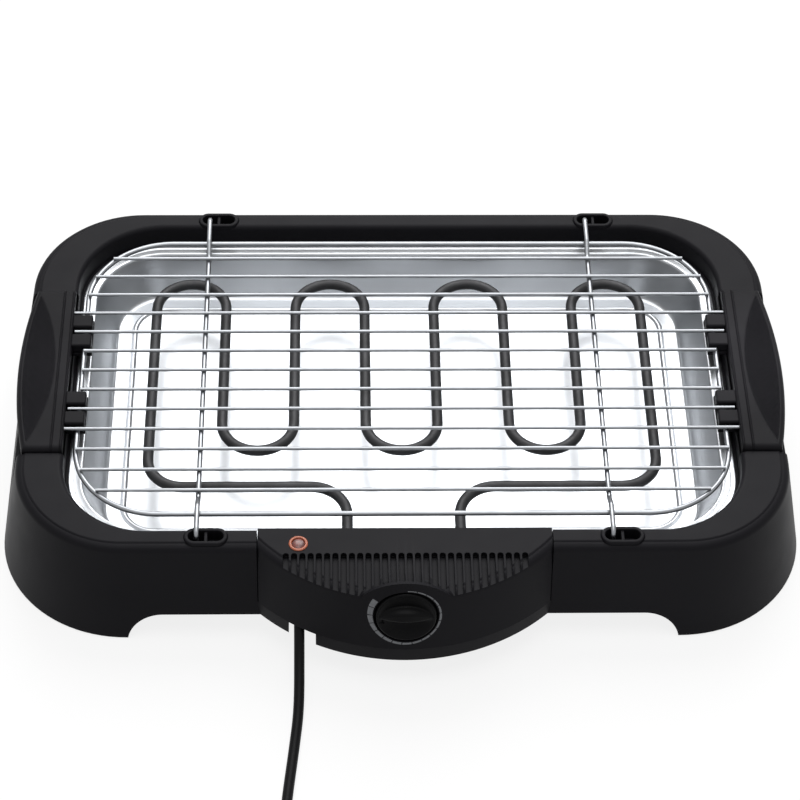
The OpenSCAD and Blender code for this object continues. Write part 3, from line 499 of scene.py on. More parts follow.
class Shader:
    """A material with one principled shader, and the nodes that feed it."""

    def __init__(self, name: str) -> None:
        """Makes an empty material.

        Args:
            name: The material's name.
        """
        self.material = bpy.data.materials.new(name)
        self.material.use_nodes = True
        self.tree = self.material.node_tree
        self.surface = self.tree.nodes["Principled BSDF"]
        self.place = self.node("ShaderNodeTexCoord").outputs["Object"]

    def node(self, kind: str, **inputs: object) -> bpy.types.Node:
        """Adds a node.

        Args:
            kind: The node's type.
            inputs: Values or sockets by input name, with _ for a blank, or by
                number, as n0.

        Returns:
            The node.
        """
        node = self.tree.nodes.new(kind)
        for key, value in inputs.items():
            numbered = key[0] == "n" and key[1:].isdigit()
            wanted = int(key[1:]) if numbered else key.replace("_", " ")
            self.feed(node.inputs[wanted], value)
        return node

    def feed(self, socket: bpy.types.NodeSocket, value: object) -> None:
        """Links or sets a socket.

        Args:
            socket: The input.
            value: A number, a colour or another node's output.
        """
        if isinstance(value, bpy.types.NodeSocket):
            self.tree.links.new(value, socket)
        else:
            socket.default_value = value

    def set(self, **inputs: object) -> None:
        """Sets or links inputs of the principled shader.

        Args:
            inputs: Values or sockets by input name, with _ for a blank.
        """
        for key, value in inputs.items():
            self.feed(self.surface.inputs[key.replace("_", " ")], value)

    def math(self, operation: str, a: object, b: object = 0.0) -> bpy.types.NodeSocket:
        """Adds a maths node.

        Args:
            operation: What it does.
            a: First number or socket.
            b: Second number or socket.

        Returns:
            The node's output.
        """
        node = self.node("ShaderNodeMath", n0=a, n1=b)
        node.operation = operation
        return node.outputs[0]

    def noise(self, scale: float, detail: float = 3.0,
              stretch: Numbers = (1, 1, 1)) -> bpy.types.NodeSocket:
        """Adds noise on the object's own coordinates.

        Args:
            scale: Features per metre, about.
            detail: Octaves.
            stretch: Scale along each axis.

        Returns:
            The noise's value.
        """
        place = self.node("ShaderNodeMapping", Vector=self.place, Scale=tuple(stretch))
        noise = self.node("ShaderNodeTexNoise", Vector=place.outputs[0], Scale=scale, Detail=detail)
        return noise.outputs["Fac"]

    def ramp(self, value: bpy.types.NodeSocket,
             *stops: tuple[float, Numbers]) -> bpy.types.NodeSocket:
        """Maps a value to colours.

        Args:
            value: The value.
            stops: Places and colours.

        Returns:
            The colour.
        """
        node = self.node("ShaderNodeValToRGB", Fac=value)
        band = node.color_ramp
        while len(band.elements) < len(stops):
            band.elements.new(0.5)
        for element, (place, colour) in zip(band.elements, stops):
            element.position = place
            element.color = (*colour, 1)
        return node.outputs["Color"]

    def span(self, value: bpy.types.NodeSocket, low: float, high: float) -> bpy.types.NodeSocket:
        """Maps 0 to 1 onto low to high and returns the result."""
        node = self.node("ShaderNodeMapRange", Value=value, To_Min=low, To_Max=high)
        return node.outputs[0]

    def rounded_normal(self, radius: float) -> bpy.types.NodeSocket:
        """Rounds the normal over sharp edges.

        Args:
            radius: The radius, in metres.

        Returns:
            The normal.
        """
        node = self.node("ShaderNodeBevel", Radius=radius)
        node.samples = 4
        return node.outputs[0]

    def bump(self, height: bpy.types.NodeSocket, distance: float, strength: float,
             normal: Optional[bpy.types.NodeSocket] = None) -> bpy.types.NodeSocket:
        """Adds a bump.

        Args:
            height: The height's socket.
            distance: Full height in metres.
            strength: Share of it that shows.
            normal: A normal to start from.

        Returns:
            The new normal.
        """
        node = self.node("ShaderNodeBump", Height=height, Distance=distance, Strength=strength)
        if normal is not None:
            self.feed(node.inputs["Normal"], normal)
        return node.outputs[0]


def tinted(colour: Numbers, share: float) -> tuple[float, ...]:
    """Returns a colour with each part times a share."""
    return tuple(share * part for part in colour)


class Finish:
    """Something that makes its material once and gives it again."""

    _made: dict[str, bpy.types.Material] = {}

    def material(self) -> bpy.types.Material:
        """Gives the finish's material.

        Returns:
            The material, made at the first call.
        """
        key = repr(self)
        if key not in Finish._made:
            Finish._made[key] = self.build()
        return Finish._made[key]

    def build(self) -> bpy.types.Material:
        """Makes the material.

        Returns:
            The material.
        """
        raise NotImplementedError


@dataclass(frozen=True)
class Plastic(Finish):
    """Moulded plastic with a fine spark-eroded grain and rubbed edges."""

    name: str
    colour: tuple[float, float, float]
    roughness: float = 0.42
    gloss: float = 0.35
    grain: float = 2.0e-5
    edge: float = 5e-4

    def build(self) -> bpy.types.Material:
        """Makes the material.

        Returns:
            The material.
        """
        s = Shader(self.name)
        dull, bright = tinted(self.colour, 0.86), tinted(self.colour, 1.12)
        s.set(Base_Color=s.ramp(s.noise(9, 4), (0.3, dull), (0.7, bright)),
              Specular_IOR_Level=self.gloss)
        s.set(Roughness=s.span(s.noise(60, 3), self.roughness - 0.05, self.roughness + 0.06))
        normal = s.rounded_normal(self.edge)
        s.set(Normal=s.bump(s.noise(2600, 2), self.grain, 0.5, normal))
        return s.material


@dataclass(frozen=True)
class KnurledGrip(Plastic):
    """Grip plastic whose lens-shaped hollow has a fine diagonal knurl, in metres. The hollow is
    painted lighter, and the knurl's lines carry painted highlights.
    """

    edge_x: float = 0.225
    arc: float = 0.3053
    reach: float = 0.019
    half: float = 0.061
    margin: float = 0.0005
    pitch: float = 0.0013
    slant: float = 0.8

    def build(self) -> bpy.types.Material:
        """Makes the material.

        Returns:
            The material.
        """
        s = Shader(self.name)
        s.set(Roughness=s.span(s.noise(60, 3), self.roughness - 0.05, self.roughness + 0.05),
              Specular_IOR_Level=self.gloss)
        split = s.node("ShaderNodeSeparateXYZ", Vector=s.place).outputs
        across = s.math("ABSOLUTE", split[0])
        along = s.math("SUBTRACT", split[1], RING_Y * MM)
        square = s.math("MULTIPLY", along, along)
        edge = s.math("SUBTRACT", self.edge_x, s.math("MULTIPLY", square, 0.5 / self.arc))
        inwards = s.math("SUBTRACT", edge, across)
        width = s.math("SUBTRACT", self.reach,
                       s.math("MULTIPLY", square, self.reach / self.half ** 2))
        near = s.math("MULTIPLY", s.math("GREATER_THAN", inwards, self.margin),
                      s.math("GREATER_THAN", s.math("SUBTRACT", width, inwards), self.margin))
        slanted = s.math("MULTIPLY", along, self.slant)
        turns = 2 * math.pi / self.pitch
        lines = [s.math("SINE", s.math("MULTIPLY", s.math(way, across, slanted), turns))
                 for way in ("ADD", "SUBTRACT")]
        knurl = s.math("MULTIPLY", s.math("MULTIPLY", *lines), near)
        # Painted light: the hollow is painted lighter than the rest of the grip, and the knurl's
        # crossings are painted light and dark as a painted sheen over the random tone
        tone_and_painted_sheen = s.math("ADD", s.math("ADD", s.noise(9, 4), s.math("MULTIPLY", near, 0.22)),
                      s.math("MULTIPLY", knurl, 0.25))
        # The top stop, 3.4 times the colour, is the painted highlight on the knurl's lines
        s.set(Base_Color=s.ramp(tone_and_painted_sheen, (0.1, tinted(self.colour, 0.6)), (0.5, self.colour),
                                (0.95, tinted(self.colour, 3.4))))
        fine = s.bump(s.noise(2600, 2), self.grain, 0.5, s.rounded_normal(self.edge))
        s.set(Normal=s.bump(knurl, 7e-4, 0.9, fine))
        return s.material


@dataclass(frozen=True)
class Wire(Finish):
    """Bright chrome-plated wire."""

    name: str
    colour: tuple[float, float, float] = (0.27, 0.28, 0.295)
    roughness: float = 0.3

    def build(self) -> bpy.types.Material:
        """Makes the material.

        Returns:
            The material.
        """
        s = Shader(self.name)
        tint = s.noise(110, 3)
        s.set(Base_Color=s.ramp(tint, (0.3, tinted(self.colour, 0.86)), (0.75, self.colour)),
              Metallic=1.0)
        s.set(Roughness=s.span(s.noise(420, 2), self.roughness - 0.04, self.roughness + 0.1))
        s.set(Normal=s.bump(s.noise(900, 2), 1.5e-5, 0.4))
        return s.material


@dataclass(frozen=True)
class Sheet(Finish):
    """Bright drawn sheet metal with soft waves, rolling lines and faint stains."""

    name: str
    colour: tuple[float, float, float] = (0.47, 0.485, 0.505)

    def build(self) -> bpy.types.Material:
        """Makes the material.

        Returns:
            The material.
        """
        s = Shader(self.name)
        stain = s.noise(9, 3)
        worn = s.ramp(stain, (0.3, tinted(self.colour, 0.86)), (0.5, self.colour),
                      (0.8, tinted(self.colour, 1.1)))
        s.set(Base_Color=worn, Metallic=1.0)
        s.set(Roughness=s.span(s.noise(30, 2), 0.27, 0.37))
        waves = s.bump(s.noise(7, 1), 1.4e-3, 0.6)
        s.set(Normal=s.bump(s.noise(24, 2, (1, 2.2, 2.2)), 1.0e-4, 0.5, waves))
        return s.material


@dataclass(frozen=True)
class HeatedTube(Finish):
    """Steel tube darkened by heat."""

    name: str

    def build(self) -> bpy.types.Material:
        """Makes the material.

        Returns:
            The material.
        """
        s = Shader(self.name)
        tint = s.noise(70, 5)
        s.set(Base_Color=s.ramp(tint, (0.3, (0.020, 0.020, 0.021)), (0.7, (0.040, 0.040, 0.043))),
              Metallic=0.55)
        s.set(Roughness=s.span(s.noise(300, 3), 0.38, 0.62))
        s.set(Normal=s.bump(s.noise(1500, 3), 4e-5, 0.5))
        return s.material


@dataclass(frozen=True)
class PlainMetal(Finish):
    """Plain steel or brass of the small fittings."""

    name: str
    colour: tuple[float, float, float]
    roughness: float = 0.32

    def build(self) -> bpy.types.Material:
        """Makes the material.

        Returns:
            The material.
        """
        s = Shader(self.name)
        tint = s.noise(160, 4)
        s.set(Base_Color=s.ramp(tint, (0.25, tinted(self.colour, 0.8)), (0.8, self.colour)),
              Metallic=1.0)
        s.set(Roughness=s.span(s.noise(700, 2), self.roughness - 0.06, self.roughness + 0.1))
        s.set(Normal=s.bump(s.noise(1200, 2), 1.5e-5, 0.5, s.rounded_normal(2e-4)))
        return s.material


@dataclass(frozen=True)
class LampLens(Finish):
    """Red translucent lens with a lamp behind it, unlit."""

    name: str

    def build(self) -> bpy.types.Material:
        """Makes the material.

        Returns:
            The material.
        """
        s = Shader(self.name)
        depth = s.noise(420, 2)
        s.set(Base_Color=s.ramp(depth, (0.35, (0.055, 0.012, 0.009)), (0.75, (0.20, 0.038, 0.026))),
              Subsurface_Weight=0.25, Subsurface_Radius=(0.004, 0.0012, 0.0008), Coat_Weight=0.1,
              Coat_Roughness=0.12, Roughness=s.span(depth, 0.22, 0.34))
        s.set(Normal=s.bump(s.noise(260, 1), 3e-5, 0.4))
        return s.material


@dataclass(frozen=True)
class PrintedMark(Finish):
    """Grey ink on the fascia."""

    name: str

    def build(self) -> bpy.types.Material:
        """Makes the material.

        Returns:
            The material.
        """
        s = Shader(self.name)
        ink = s.noise(1400, 3)
        s.set(Base_Color=s.ramp(ink, (0.3, (0.13, 0.135, 0.145)), (0.7, (0.19, 0.195, 0.205))),
              Roughness=s.span(ink, 0.45, 0.6), Specular_IOR_Level=0.3)
        return s.material


SHELL = Plastic("satin_black_plastic", (0.0088, 0.0085, 0.0102), roughness=0.44, gloss=0.055)
GRIP = KnurledGrip("handle_plastic", (0.0080, 0.0077, 0.0091), roughness=0.46, gloss=0.055)
KNOB = Plastic("knob_plastic", (0.0042, 0.0042, 0.0046), roughness=0.34, gloss=0.06, edge=3e-4)
CORD = Plastic("lead_sheath", (0.0065, 0.0065, 0.007), roughness=0.45, gloss=0.08, grain=4e-5,
               edge=2e-4)
FOOT = Plastic("foot_rubber", (0.012, 0.012, 0.012), roughness=0.75, grain=6e-5)
TIE = Plastic("tie_strap", (0.03, 0.03, 0.032), roughness=0.7, grain=8e-5)
PALE = Plastic("pale_insulator", (0.62, 0.58, 0.48), roughness=0.5)
BROWN = Plastic("brown_insulator", (0.13, 0.08, 0.045), roughness=0.5)
LAMP_RING = Plastic("lamp_ring", (0.38, 0.105, 0.05), roughness=0.28, gloss=0.4, edge=2e-4)
CHROME = Wire("rack_chrome")
TRAY_METAL = Sheet("tray_metal")
HEATED = HeatedTube("heated_tube")
STEEL = PlainMetal("plain_steel", (0.55, 0.56, 0.58))
PIN_METAL = PlainMetal("pin_metal", (0.62, 0.62, 0.64), 0.25)
BRASS = PlainMetal("earth_brass", (0.56, 0.42, 0.20))
LENS = LampLens("lamp_lens")
INK = PrintedMark("scale_ink")


# ----------------------------------------------------------------- the camera


@dataclass
class Studio:
    """Camera, floor and light."""

    elevation: float = 47.49
    azimuth: float = -1.94
    roll: float = 1.30
    distance: float = 1.565
    target: tuple[float, float, float] = (-0.0011, -0.0074, 0.066)
    lens: float = 119.1
    table_z: float = -0.0002
    table_glow: float = 1.04
    room: float = 0.34

    def camera(self) -> None:
        """Puts the camera where the photograph was taken from."""
        el, az, roll = (math.radians(a) for a in (self.elevation, self.azimuth, self.roll))
        back = Vector((math.sin(az) * math.cos(el), -math.cos(az) * math.cos(el), math.sin(el)))
        right = (-back).cross(Vector((0, 0, 1))).normalized()
        up = right.cross(-back)
        across = right * math.cos(roll) + up * math.sin(roll)
        upward = up * math.cos(roll) - right * math.sin(roll)
        data = bpy.data.cameras.new("camera")
        data.lens = self.lens
        data.sensor_width = 36
        data.clip_start, data.clip_end = 0.05, 50
        camera = bpy.data.objects.new("camera", data)
        bpy.context.scene.collection.objects.link(camera)
        turn = Matrix((across, upward, back)).transposed().to_4x4()
        camera.matrix_world = Matrix.Translation(Vector(self.target) + back * self.distance) @ turn
        bpy.context.scene.camera = camera

    def floor(self) -> None:
        """Lays a plain white table that keeps a soft shadow."""
        bpy.ops.mesh.primitive_plane_add(size=14, location=(0, 0, self.table_z))
        floor = bpy.context.object
        floor.name = "floor"
        s = Shader("white_table")
        s.set(Base_Color=(0.86, 0.86, 0.86, 1), Roughness=0.9, Specular_IOR_Level=0.0)
        seen = s.node("ShaderNodeLightPath").outputs
        direct = seen["Is Camera Ray"]
        for ray in ("Is Glossy Ray", "Is Transmission Ray"):
            direct = s.math("MAXIMUM", direct, seen[ray])
        glow = s.node("ShaderNodeEmission", Color=(1, 1, 1, 1), Strength=self.table_glow)
        mixed = s.node("ShaderNodeMixShader", Fac=s.math("MULTIPLY", direct, 0.8),
                       n1=s.surface.outputs[0], n2=glow.outputs[0])
        s.tree.links.new(mixed.outputs[0], s.tree.nodes["Material Output"].inputs["Surface"])
        floor.data.materials.append(s.material)

    def light(self) -> None:
        """Lights the object softly, from above and a little from the front."""
        world = bpy.data.worlds.new("studio")
        bpy.context.scene.world = world
        world.use_nodes = True
        tree = world.node_tree
        background = tree.nodes["Background"]
        seen = tree.nodes.new("ShaderNodeLightPath").outputs
        direct = seen["Is Camera Ray"]
        for ray in ("Is Glossy Ray", "Is Transmission Ray"):
            either = tree.nodes.new("ShaderNodeMath")
            either.operation = "MAXIMUM"
            tree.links.new(direct, either.inputs[0])
            tree.links.new(seen[ray], either.inputs[1])
            direct = either.outputs[0]
        level = tree.nodes.new("ShaderNodeMapRange")
        tree.links.new(direct, level.inputs["Value"])
        level.inputs["To Min"].default_value = self.room
        level.inputs["To Max"].default_value = 1.0
        background.inputs["Color"].default_value = (1, 1, 1, 1)
        tree.links.new(level.outputs[0], background.inputs["Strength"])
        self.lamp("rear_softbox", (0.1, 1.35, 1.6), (0, 0, 0), 1.6, 42)
        self.lamp("overhead", (0.0, -0.2, 1.9), (0, 0, 0), 1.2, 12)

    def lamp(self, name: str, place: Numbers, aim: Numbers, size: float, power: float) -> None:
        """Adds one soft lamp.

        Args:
            name: Its name.
            place: Where it hangs, in metres.
            aim: What it points at.
            size: Side of its square.
            power: Watts.
        """
        data = bpy.data.lights.new(name, "AREA")
        data.size = size
        data.energy = power
        lamp = bpy.data.objects.new(name, data)
        bpy.context.scene.collection.objects.link(lamp)
        lamp.location = place
        lamp.rotation_mode = "QUATERNION"
        lamp.rotation_quaternion = (Vector(aim) - Vector(place)).to_track_quat("-Z", "Y")


# -------------------------------------------------------------- the mains lead


@dataclass
class MainsLead:
    """Round black lead: out of the notch, along the table, into a tied coil."""

    diameter: float = 6.0
    mouth: tuple[float, float, float] = (-60, -157, 27)
    route: tuple = (
        (0, 4, 23), (0, 12, 16), (0, 21, 10.5), (0, 31, 6.4), (0.2, 42, 4), (0.8, 53, 3),
        (1.9, 65, 3), (3.2, 78, 3), (4.6, 91, 3), (5.9, 104, 3), (6.9, 117, 3), (7.6, 130, 3.2),
        (7.9, 142, 3.5), (8, 154, 3.8), (8, 160, 3.9))
    tail: tuple = (
        (8.6875, 11), (17.6875, 12.4), (27.6875, 14.9), (37.6875, 17.1), (46.6875, 18.4),
        (54.6875, 18.7), (60.6875, 18.7))
    coil_radius: float = 35
    pitch: float = 6.6
    turns: float = 6.25
    steps: int = 48
    length: float = 1.612
    strap_size: tuple[float, float] = (0.8, 9)
    plug_radius: float = 18.6
    plug_length: float = 58
    earth: tuple[float, float] = (2.6, -10.2)

    def run(self) -> list[Vector]:
        """Returns the route from the mouth to the coil."""
        x, y, _ = self.mouth
        return [Vector(self.mouth)] + [Vector((x - a, y - b, z)) for a, b, z in self.route]

    def coil(self, start: Vector) -> list[Vector]:
        """Winds the coil: in along the table, up a layer and out again.

        Args:
            start: Where the route ends.

        Returns:
            The coil's points.
        """
        out = self.coil_radius + self.pitch * self.turns / 4
        x, y = start.x + out, start.y - self.diameter
        points = []
        for i in range(int(self.turns * self.steps) + 1):
            t = i / self.steps
            climb = min(1.0, max(0.0, 2 * (t - self.turns / 2) + 0.5))
            r = out - self.pitch * min(t, self.turns - t)
            a = math.pi + 2 * math.pi * t
            points.append(Vector((x + r * math.cos(a), y + r * math.sin(a),
                                  start.z + self.pitch * (1 - math.cos(math.pi * climb)) / 2)))
        return points + [points[-1] + Vector((self.diameter, 0, 0))]

    def centre(self) -> list[Vector]:
        """Draws the centreline, smooth between its points.

        Returns:
            The points from the mouth to the plug.
        """
        run = smooth(self.run(), 4)
        coil = self.coil(run[-1])
        end = coil[-1]
        tail = [end] + [Vector((end.x + a, end.y, z)) for a, z in self.tail]
        return run + coil + smooth(tail, 4)[1:]

    def build(self) -> None:
        """Makes the lead, its coil's strap and its plug."""
        points = self.centre()
        plug = self.plug(points[-1])
        strap = self.strap()
        data = bpy.data.curves.new("mains_lead", "CURVE")
        data.dimensions = "3D"
        data.bevel_depth = self.diameter / 2 * MM
        data.bevel_resolution = 6
        data.use_fill_caps = True
        line = data.splines.new("POLY")
        line.points.add(len(points) - 1)
        for spot, p in zip(line.points, points):
            spot.co = (p.x * MM, (p.y + RING_Y) * MM, p.z * MM, 1)
        data.materials.append(CORD.material())
        lead = bpy.data.objects.new("mains_lead", data)
        bpy.context.scene.collection.objects.link(lead)
        enrol(lead, Body.CONTROL, "cord_black", "cord_run", "cord_coil", "cord_end")

    def strap(self) -> bpy.types.Object:
        """Makes the strap round the coil.

        Returns:
            The finished strap.
        """
        out = self.coil_radius + self.pitch * self.turns / 4
        start = self.run()[-1]
        x, y = start.x + out, start.y - self.diameter
        thick, wide = self.strap_size
        near = out - self.pitch * self.turns / 2 - self.diameter / 2 - 0.6
        far = out + self.diameter / 2 + 0.6
        low = start.z - self.diameter / 2 - 0.1
        high = start.z + self.pitch + self.diameter / 2 + 0.2
        band = Bench.plate("coil_strap", (far - near + thick, high - low + thick), 2.2, 0, 6)
        with band.editing():
            bpy.ops.mesh.delete(type="ONLY_FACE")
            band.pick("EDGE", lambda p, e: True)
            band.extrude((0, 0, wide))
        band.put(Matrix.Translation((x + (near + far) / 2, y + wide / 2, (low + high) / 2))
                 @ Matrix.Rotation(math.pi / 2, 4, "X"))
        band.modify("SOLIDIFY", thickness=thick, offset=0)
        band.soften(0.2, 2)
        return band.finish(TIE, Body.CONTROL, "cord_black", "cord_tie")

    def plug(self, start: Vector) -> bpy.types.Object:
        """Makes the plug's moulded body.

        Args:
            start: Where the lead enters it.

        Returns:
            The plug's body.
        """
        profile = [(0, 0.2), (3.3, 0.2), (3.9, 0.8)]
        for i in range(5):
            z = 2.4 + 4 * i
            r = 4.0 + 0.28 * i
            profile += [(r, z), (r - 0.55, z + 0.5), (r - 0.55, z + 1.4), (r + 0.1, z + 1.9)]
        wide, end = self.plug_radius, self.plug_length
        profile += [(5.3, 22), (8, 23.2), (11.3, 25.6), (12.9, 28.6), (13.6, 31.5), (13.8, 35),
                    (13.9, 39), (14.6, 40.8), (16.6, 42.2), (18.1, 43.4), (wide, 44.6),
                    (wide, 56.6), (18.2, 57.6), (17.4, end), (0, end)]
        body = Bench.turned("plug_moulding", profile, 72)
        for side in (-1, 1):
            x = side * wide
            slot = Bench.box("slot", (x - 2, -4, 45), (x + 2, 4, end + 1))
            body.combine(slot, Cut.REMOVE)
        radius, away = self.earth
        hole = Bench.drum("earth_hole", (radius, radius), (44, 64), (away, 0), 32)
        body.combine(hole, Cut.REMOVE)
        body.soften(0.5, 2)
        body.put(Matrix.Translation(start) @ Matrix.Rotation(math.pi / 2, 4, "Y"))
        return body.finish(CORD, Body.CONTROL, "cord_black", "plug_body")


def smooth(points: Sequence[Vector], steps: int) -> list[Vector]:
    """Runs a smooth curve through points.

    Args:
        points: The points.
        steps: Steps between two of them.

    Returns:
        The finer points, from the first to the last.
    """
    found = []
    ends = [points[0] * 2 - points[1], *points, points[-1] * 2 - points[-2]]
    for a, b, c, d in zip(ends, ends[1:], ends[2:], ends[3:]):
        for i in range(steps):
            t = i / steps
            found.append((b * 2 + (c - a) * t + (a * 2 - b * 5 + c * 4 - d) * t * t
                          + (b * 3 - a - c * 3 + d) * t ** 3) / 2)
    return found + [points[-1].copy()]


# ------------------------------------------------------------------- the base

# Steps inwards and upwards of the rounded shoulder and the low step above it, and
# their height together
SHOULDER = ((0.35, 1.2), (0.55, 1.1), (0.95, 0.9), (1.3, 0.55), (1.0, 0.12), (0.45, 0.08),
            (0.35, 0.33), (0.45, 0.26), (0.5, 0.06))
SHOULDER_HEIGHT = 4.6


def quarter(radius: float, steps: int) -> list[tuple[float, float]]:
    """Returns inset steps of a quarter round that turns down.

    Args:
        radius: Its radius.
        steps: Its steps.

    Returns:
        Pairs of inwards and along.
    """
    angles = [math.pi / 2 * i / steps for i in range(steps + 1)]
    return [(radius * (math.sin(b) - math.sin(a)), -radius * (math.cos(a) - math.cos(b)))
            for a, b in zip(angles, angles[1:])]


@dataclass
class FrameRing:
    """Black plastic ring with sloping walls, cut for handles, feet and control unit."""

    width: float = 447
    depth: float = 273
    height: float = 67
    corner: float = 64
    lean: float = 0.19
    foot: float = 1
    opening: tuple[float, float] = (393, 245)
    opening_corner: float = 51
    inner_round: float = 3.2
    seat: float = 53
    ledge: float = 8
    wall: float = 2.5
    seam: float = 28
    arch: tuple[float, float, float] = (318, 18, 21)
    pocket: float = 83.7
    bay: tuple[float, float] = (65.5, 39)
    bow: tuple[float, float] = (112, 60)
    notch: tuple[float, float] = (-66, -50.6)
    leg_x: float = 117.75
    socket_shift: float = 5.35
    socket_y: float = 128.7
    socket_hole: tuple[float, float] = (22.2, 10)
    socket_rim: tuple[float, float] = (25.2, 12.6)
    insert: tuple[float, float] = (25, 12.4)
    shelf: tuple[float, float] = (-121.5, -119)
    gate: tuple[float, float] = (41, 44.6)
    pads: tuple[float, float] = (210, 94.5)
    pad_radius: float = 6

    def sheet(self) -> Bench:
        """Draws the ring's outer skin, from the foot over the top to the ledge.

        Returns:
            The closed solid, without its hollow.
        """
        spread = self.lean * (self.height - self.foot)
        skin = Bench.plate("frame_shell", (self.width + 2 * spread, self.depth + 2 * spread),
                           self.corner + spread, self.foot, 24)
        straight = self.height - SHOULDER_HEIGHT - self.foot
        with skin.editing():
            skin.rings([(self.lean * straight, straight)])
            # Shoulder and the small step that borders the top
            skin.rings(SHOULDER)
            bpy.ops.mesh.delete(type="FACE")
        inner = Bench.plate("inner", tuple(v + 2 * self.inner_round for v in self.opening),
                            self.opening_corner + self.inner_round, self.height, 24)
        with inner.editing():
            inner.rings(quarter(self.inner_round, 5))
            drop = self.height - self.inner_round - self.seat
            inner.rings([(0.35, -(drop - 0.4)), (0.3, -0.4), (self.ledge - 0.65, 0)])
            bpy.ops.mesh.delete(type="FACE")
        skin.join([inner])
        with skin.editing():
            skin.bridge(lambda p, e: p.z > self.height - 0.3)
            skin.bridge(lambda p, e: True)
            bpy.ops.mesh.select_all(action="SELECT")
            skin.face_out()
        return skin

    def hollow(self, wall: float) -> Bench:
        """Makes the ring's hollow as one block with a dent at its top.

        Args:
            wall: The wall that stays outside it.

        Returns:
            The closed block.
        """
        spread = self.lean * (self.height + 1) - wall
        block = Bench.plate("hollow", (self.width + 2 * spread, self.depth + 2 * spread),
                            self.corner + spread, -1, 24)
        top = self.height - wall - 1
        with block.editing():
            block.rings([(self.lean * (top - 2), top - 2), (2.2, 3)])
            bpy.ops.mesh.delete(type="FACE")
        dent = Bench.plate("dent", tuple(v + 2 * wall for v in self.opening),
                           self.opening_corner + wall, top, 24)
        with dent.editing():
            dent.rings([(0, self.seat - wall - top)])
        block.join([dent])
        with block.editing():
            block.bridge(lambda p, e: p.z > 0)
            bpy.ops.mesh.select_all(action="SELECT")
            bpy.ops.mesh.fill_holes(sides=0)
            bpy.ops.mesh.select_all(action="SELECT")
            block.face_out()
        return block

    def inner_walls(self, solid: Bench) -> list[Bench]:
        """Makes the walls that close the hollow beside the bays and the pocket.

        Args:
            solid: The block that they are trimmed to.

        Returns:
            The walls.
        """
        bay, floor = self.bay
        inner_x = self.opening[0] / 2
        slabs = []
        for x in (-1, 1):
            low, high = sorted((x * (self.pocket + 0.05), x * (self.pocket + self.wall)))
            slabs.append(((low, -200, self.arch[1]), (high, -118, 80)))
            low, high = sorted((x * inner_x, x * 260))
            for y in (-1, 1):
                a, b = sorted((y * (bay + 0.05), y * (bay + self.wall)))
                slabs.append(((low, a, floor - self.wall), (high, b, 80)))
            slabs.append(((low, -bay - 0.1, floor - self.wall), (high, bay + 0.1, floor - 0.02)))
            near, far = sorted((x * inner_x, x * (inner_x + self.wall)))
            slabs.append(((near, -bay - 0.1, floor - 0.1), (far, bay + 0.1, 59.4)))
        walls = []
        for i, (low, high) in enumerate(slabs):
            wall = Bench.box(f"inner_wall_{i}", low, high)
            wall.combine(solid.copy("trim"), Cut.KEEP_COMMON)
            walls.append(wall)
        return walls

    def cutters(self) -> list[Bench]:
        """Makes what is cut from the ring: arches, pocket, bays and socket holes.

        Returns:
            The cutters, in their order.
        """
        wide, high, radius = self.arch
        reach = math.sqrt(radius ** 2 - (radius - high) ** 2)
        half = wide / 2 - reach
        arch = Bench.box("arch", (-half, -300, -25), (half, 300, high))
        for x in (-1, 1):
            corner = Bench.drum("arch_corner", (radius, radius), (-300, 300), (0, 0), 96)
            corner.put(Matrix.Translation((x * half, 0, high - radius))
                       @ Matrix.Rotation(math.pi / 2, 4, "X"))
            arch.combine(corner, Cut.JOIN)
        back = -self.opening[1] / 2
        pocket = Bench.box("pocket", (-self.pocket, -250, self.seam), (self.pocket, back + 8, 100))
        found = [arch, pocket]
        bay, floor = self.bay
        for x in (-1, 1):
            low, high_x = sorted((x * self.opening[0] / 2, x * 300))
            found.append(Bench.box("bay", (low, -bay, floor), (high_x, bay, 100)))
            for y in (-1, 1):
                place = self.socket_place(x, y)
                hole = Bench.prism("socket_hole", self.socket_hole, 4.99, (40, 80), 10)
                found.append(hole.put(place))
                rim = Bench.prism("socket_rim", self.socket_rim, 6.29, (65.5, 80), 12)
                found.append(rim.put(place))
        return found

    def socket_place(self, x: int, y: int) -> Matrix:
        """Returns the place of the leg socket on the sides x and y, each -1 or 1."""
        return Matrix.Translation((x * self.leg_x + self.socket_shift, y * self.socket_y, 0))

    def skirt(self) -> Bench:
        """Makes the shelf and the bowed skirt under the control unit.

        Returns:
            The skirt.
        """
        r, y = self.bow
        low, high = self.arch[1], self.seam
        radius = r + self.lean * (self.height - high) - 0.5
        half = self.pocket + self.wall
        skirt = Bench.drum("skirt", (radius, radius), (low, high), (0, -y), 360)
        front, back = self.shelf
        skirt.combine(Bench.box("keep", (-half, -260, 0), (half, back, 60)), Cut.KEEP_COMMON)
        inner, half = radius - self.wall, half - self.wall
        inside = Bench.drum("inside", (inner, inner), (low + self.wall, 60), (0, -y), 360)
        inside.combine(Bench.box("keep", (-half, -260, 0), (half, front, 80)), Cut.KEEP_COMMON)
        skirt.combine(inside, Cut.REMOVE)
        left, right = self.notch
        skirt.combine(Bench.box("notch", (left, -260, 0), (right, -136, 60)), Cut.REMOVE)
        return skirt

    def gate_wall(self) -> Bench:
        """Makes the wall behind the control unit, with the element's gate.

        Returns:
            The wall.
        """
        half = self.pocket + self.wall
        front, back = self.shelf
        wall = Bench.box("gate_wall", (-half, front, self.arch[1]), (half, back, self.seat - 2))
        wide, sill = self.gate
        wall.combine(Bench.box("gate", (-wide, -130, sill), (wide, -110, 80)), Cut.REMOVE)
        return wall

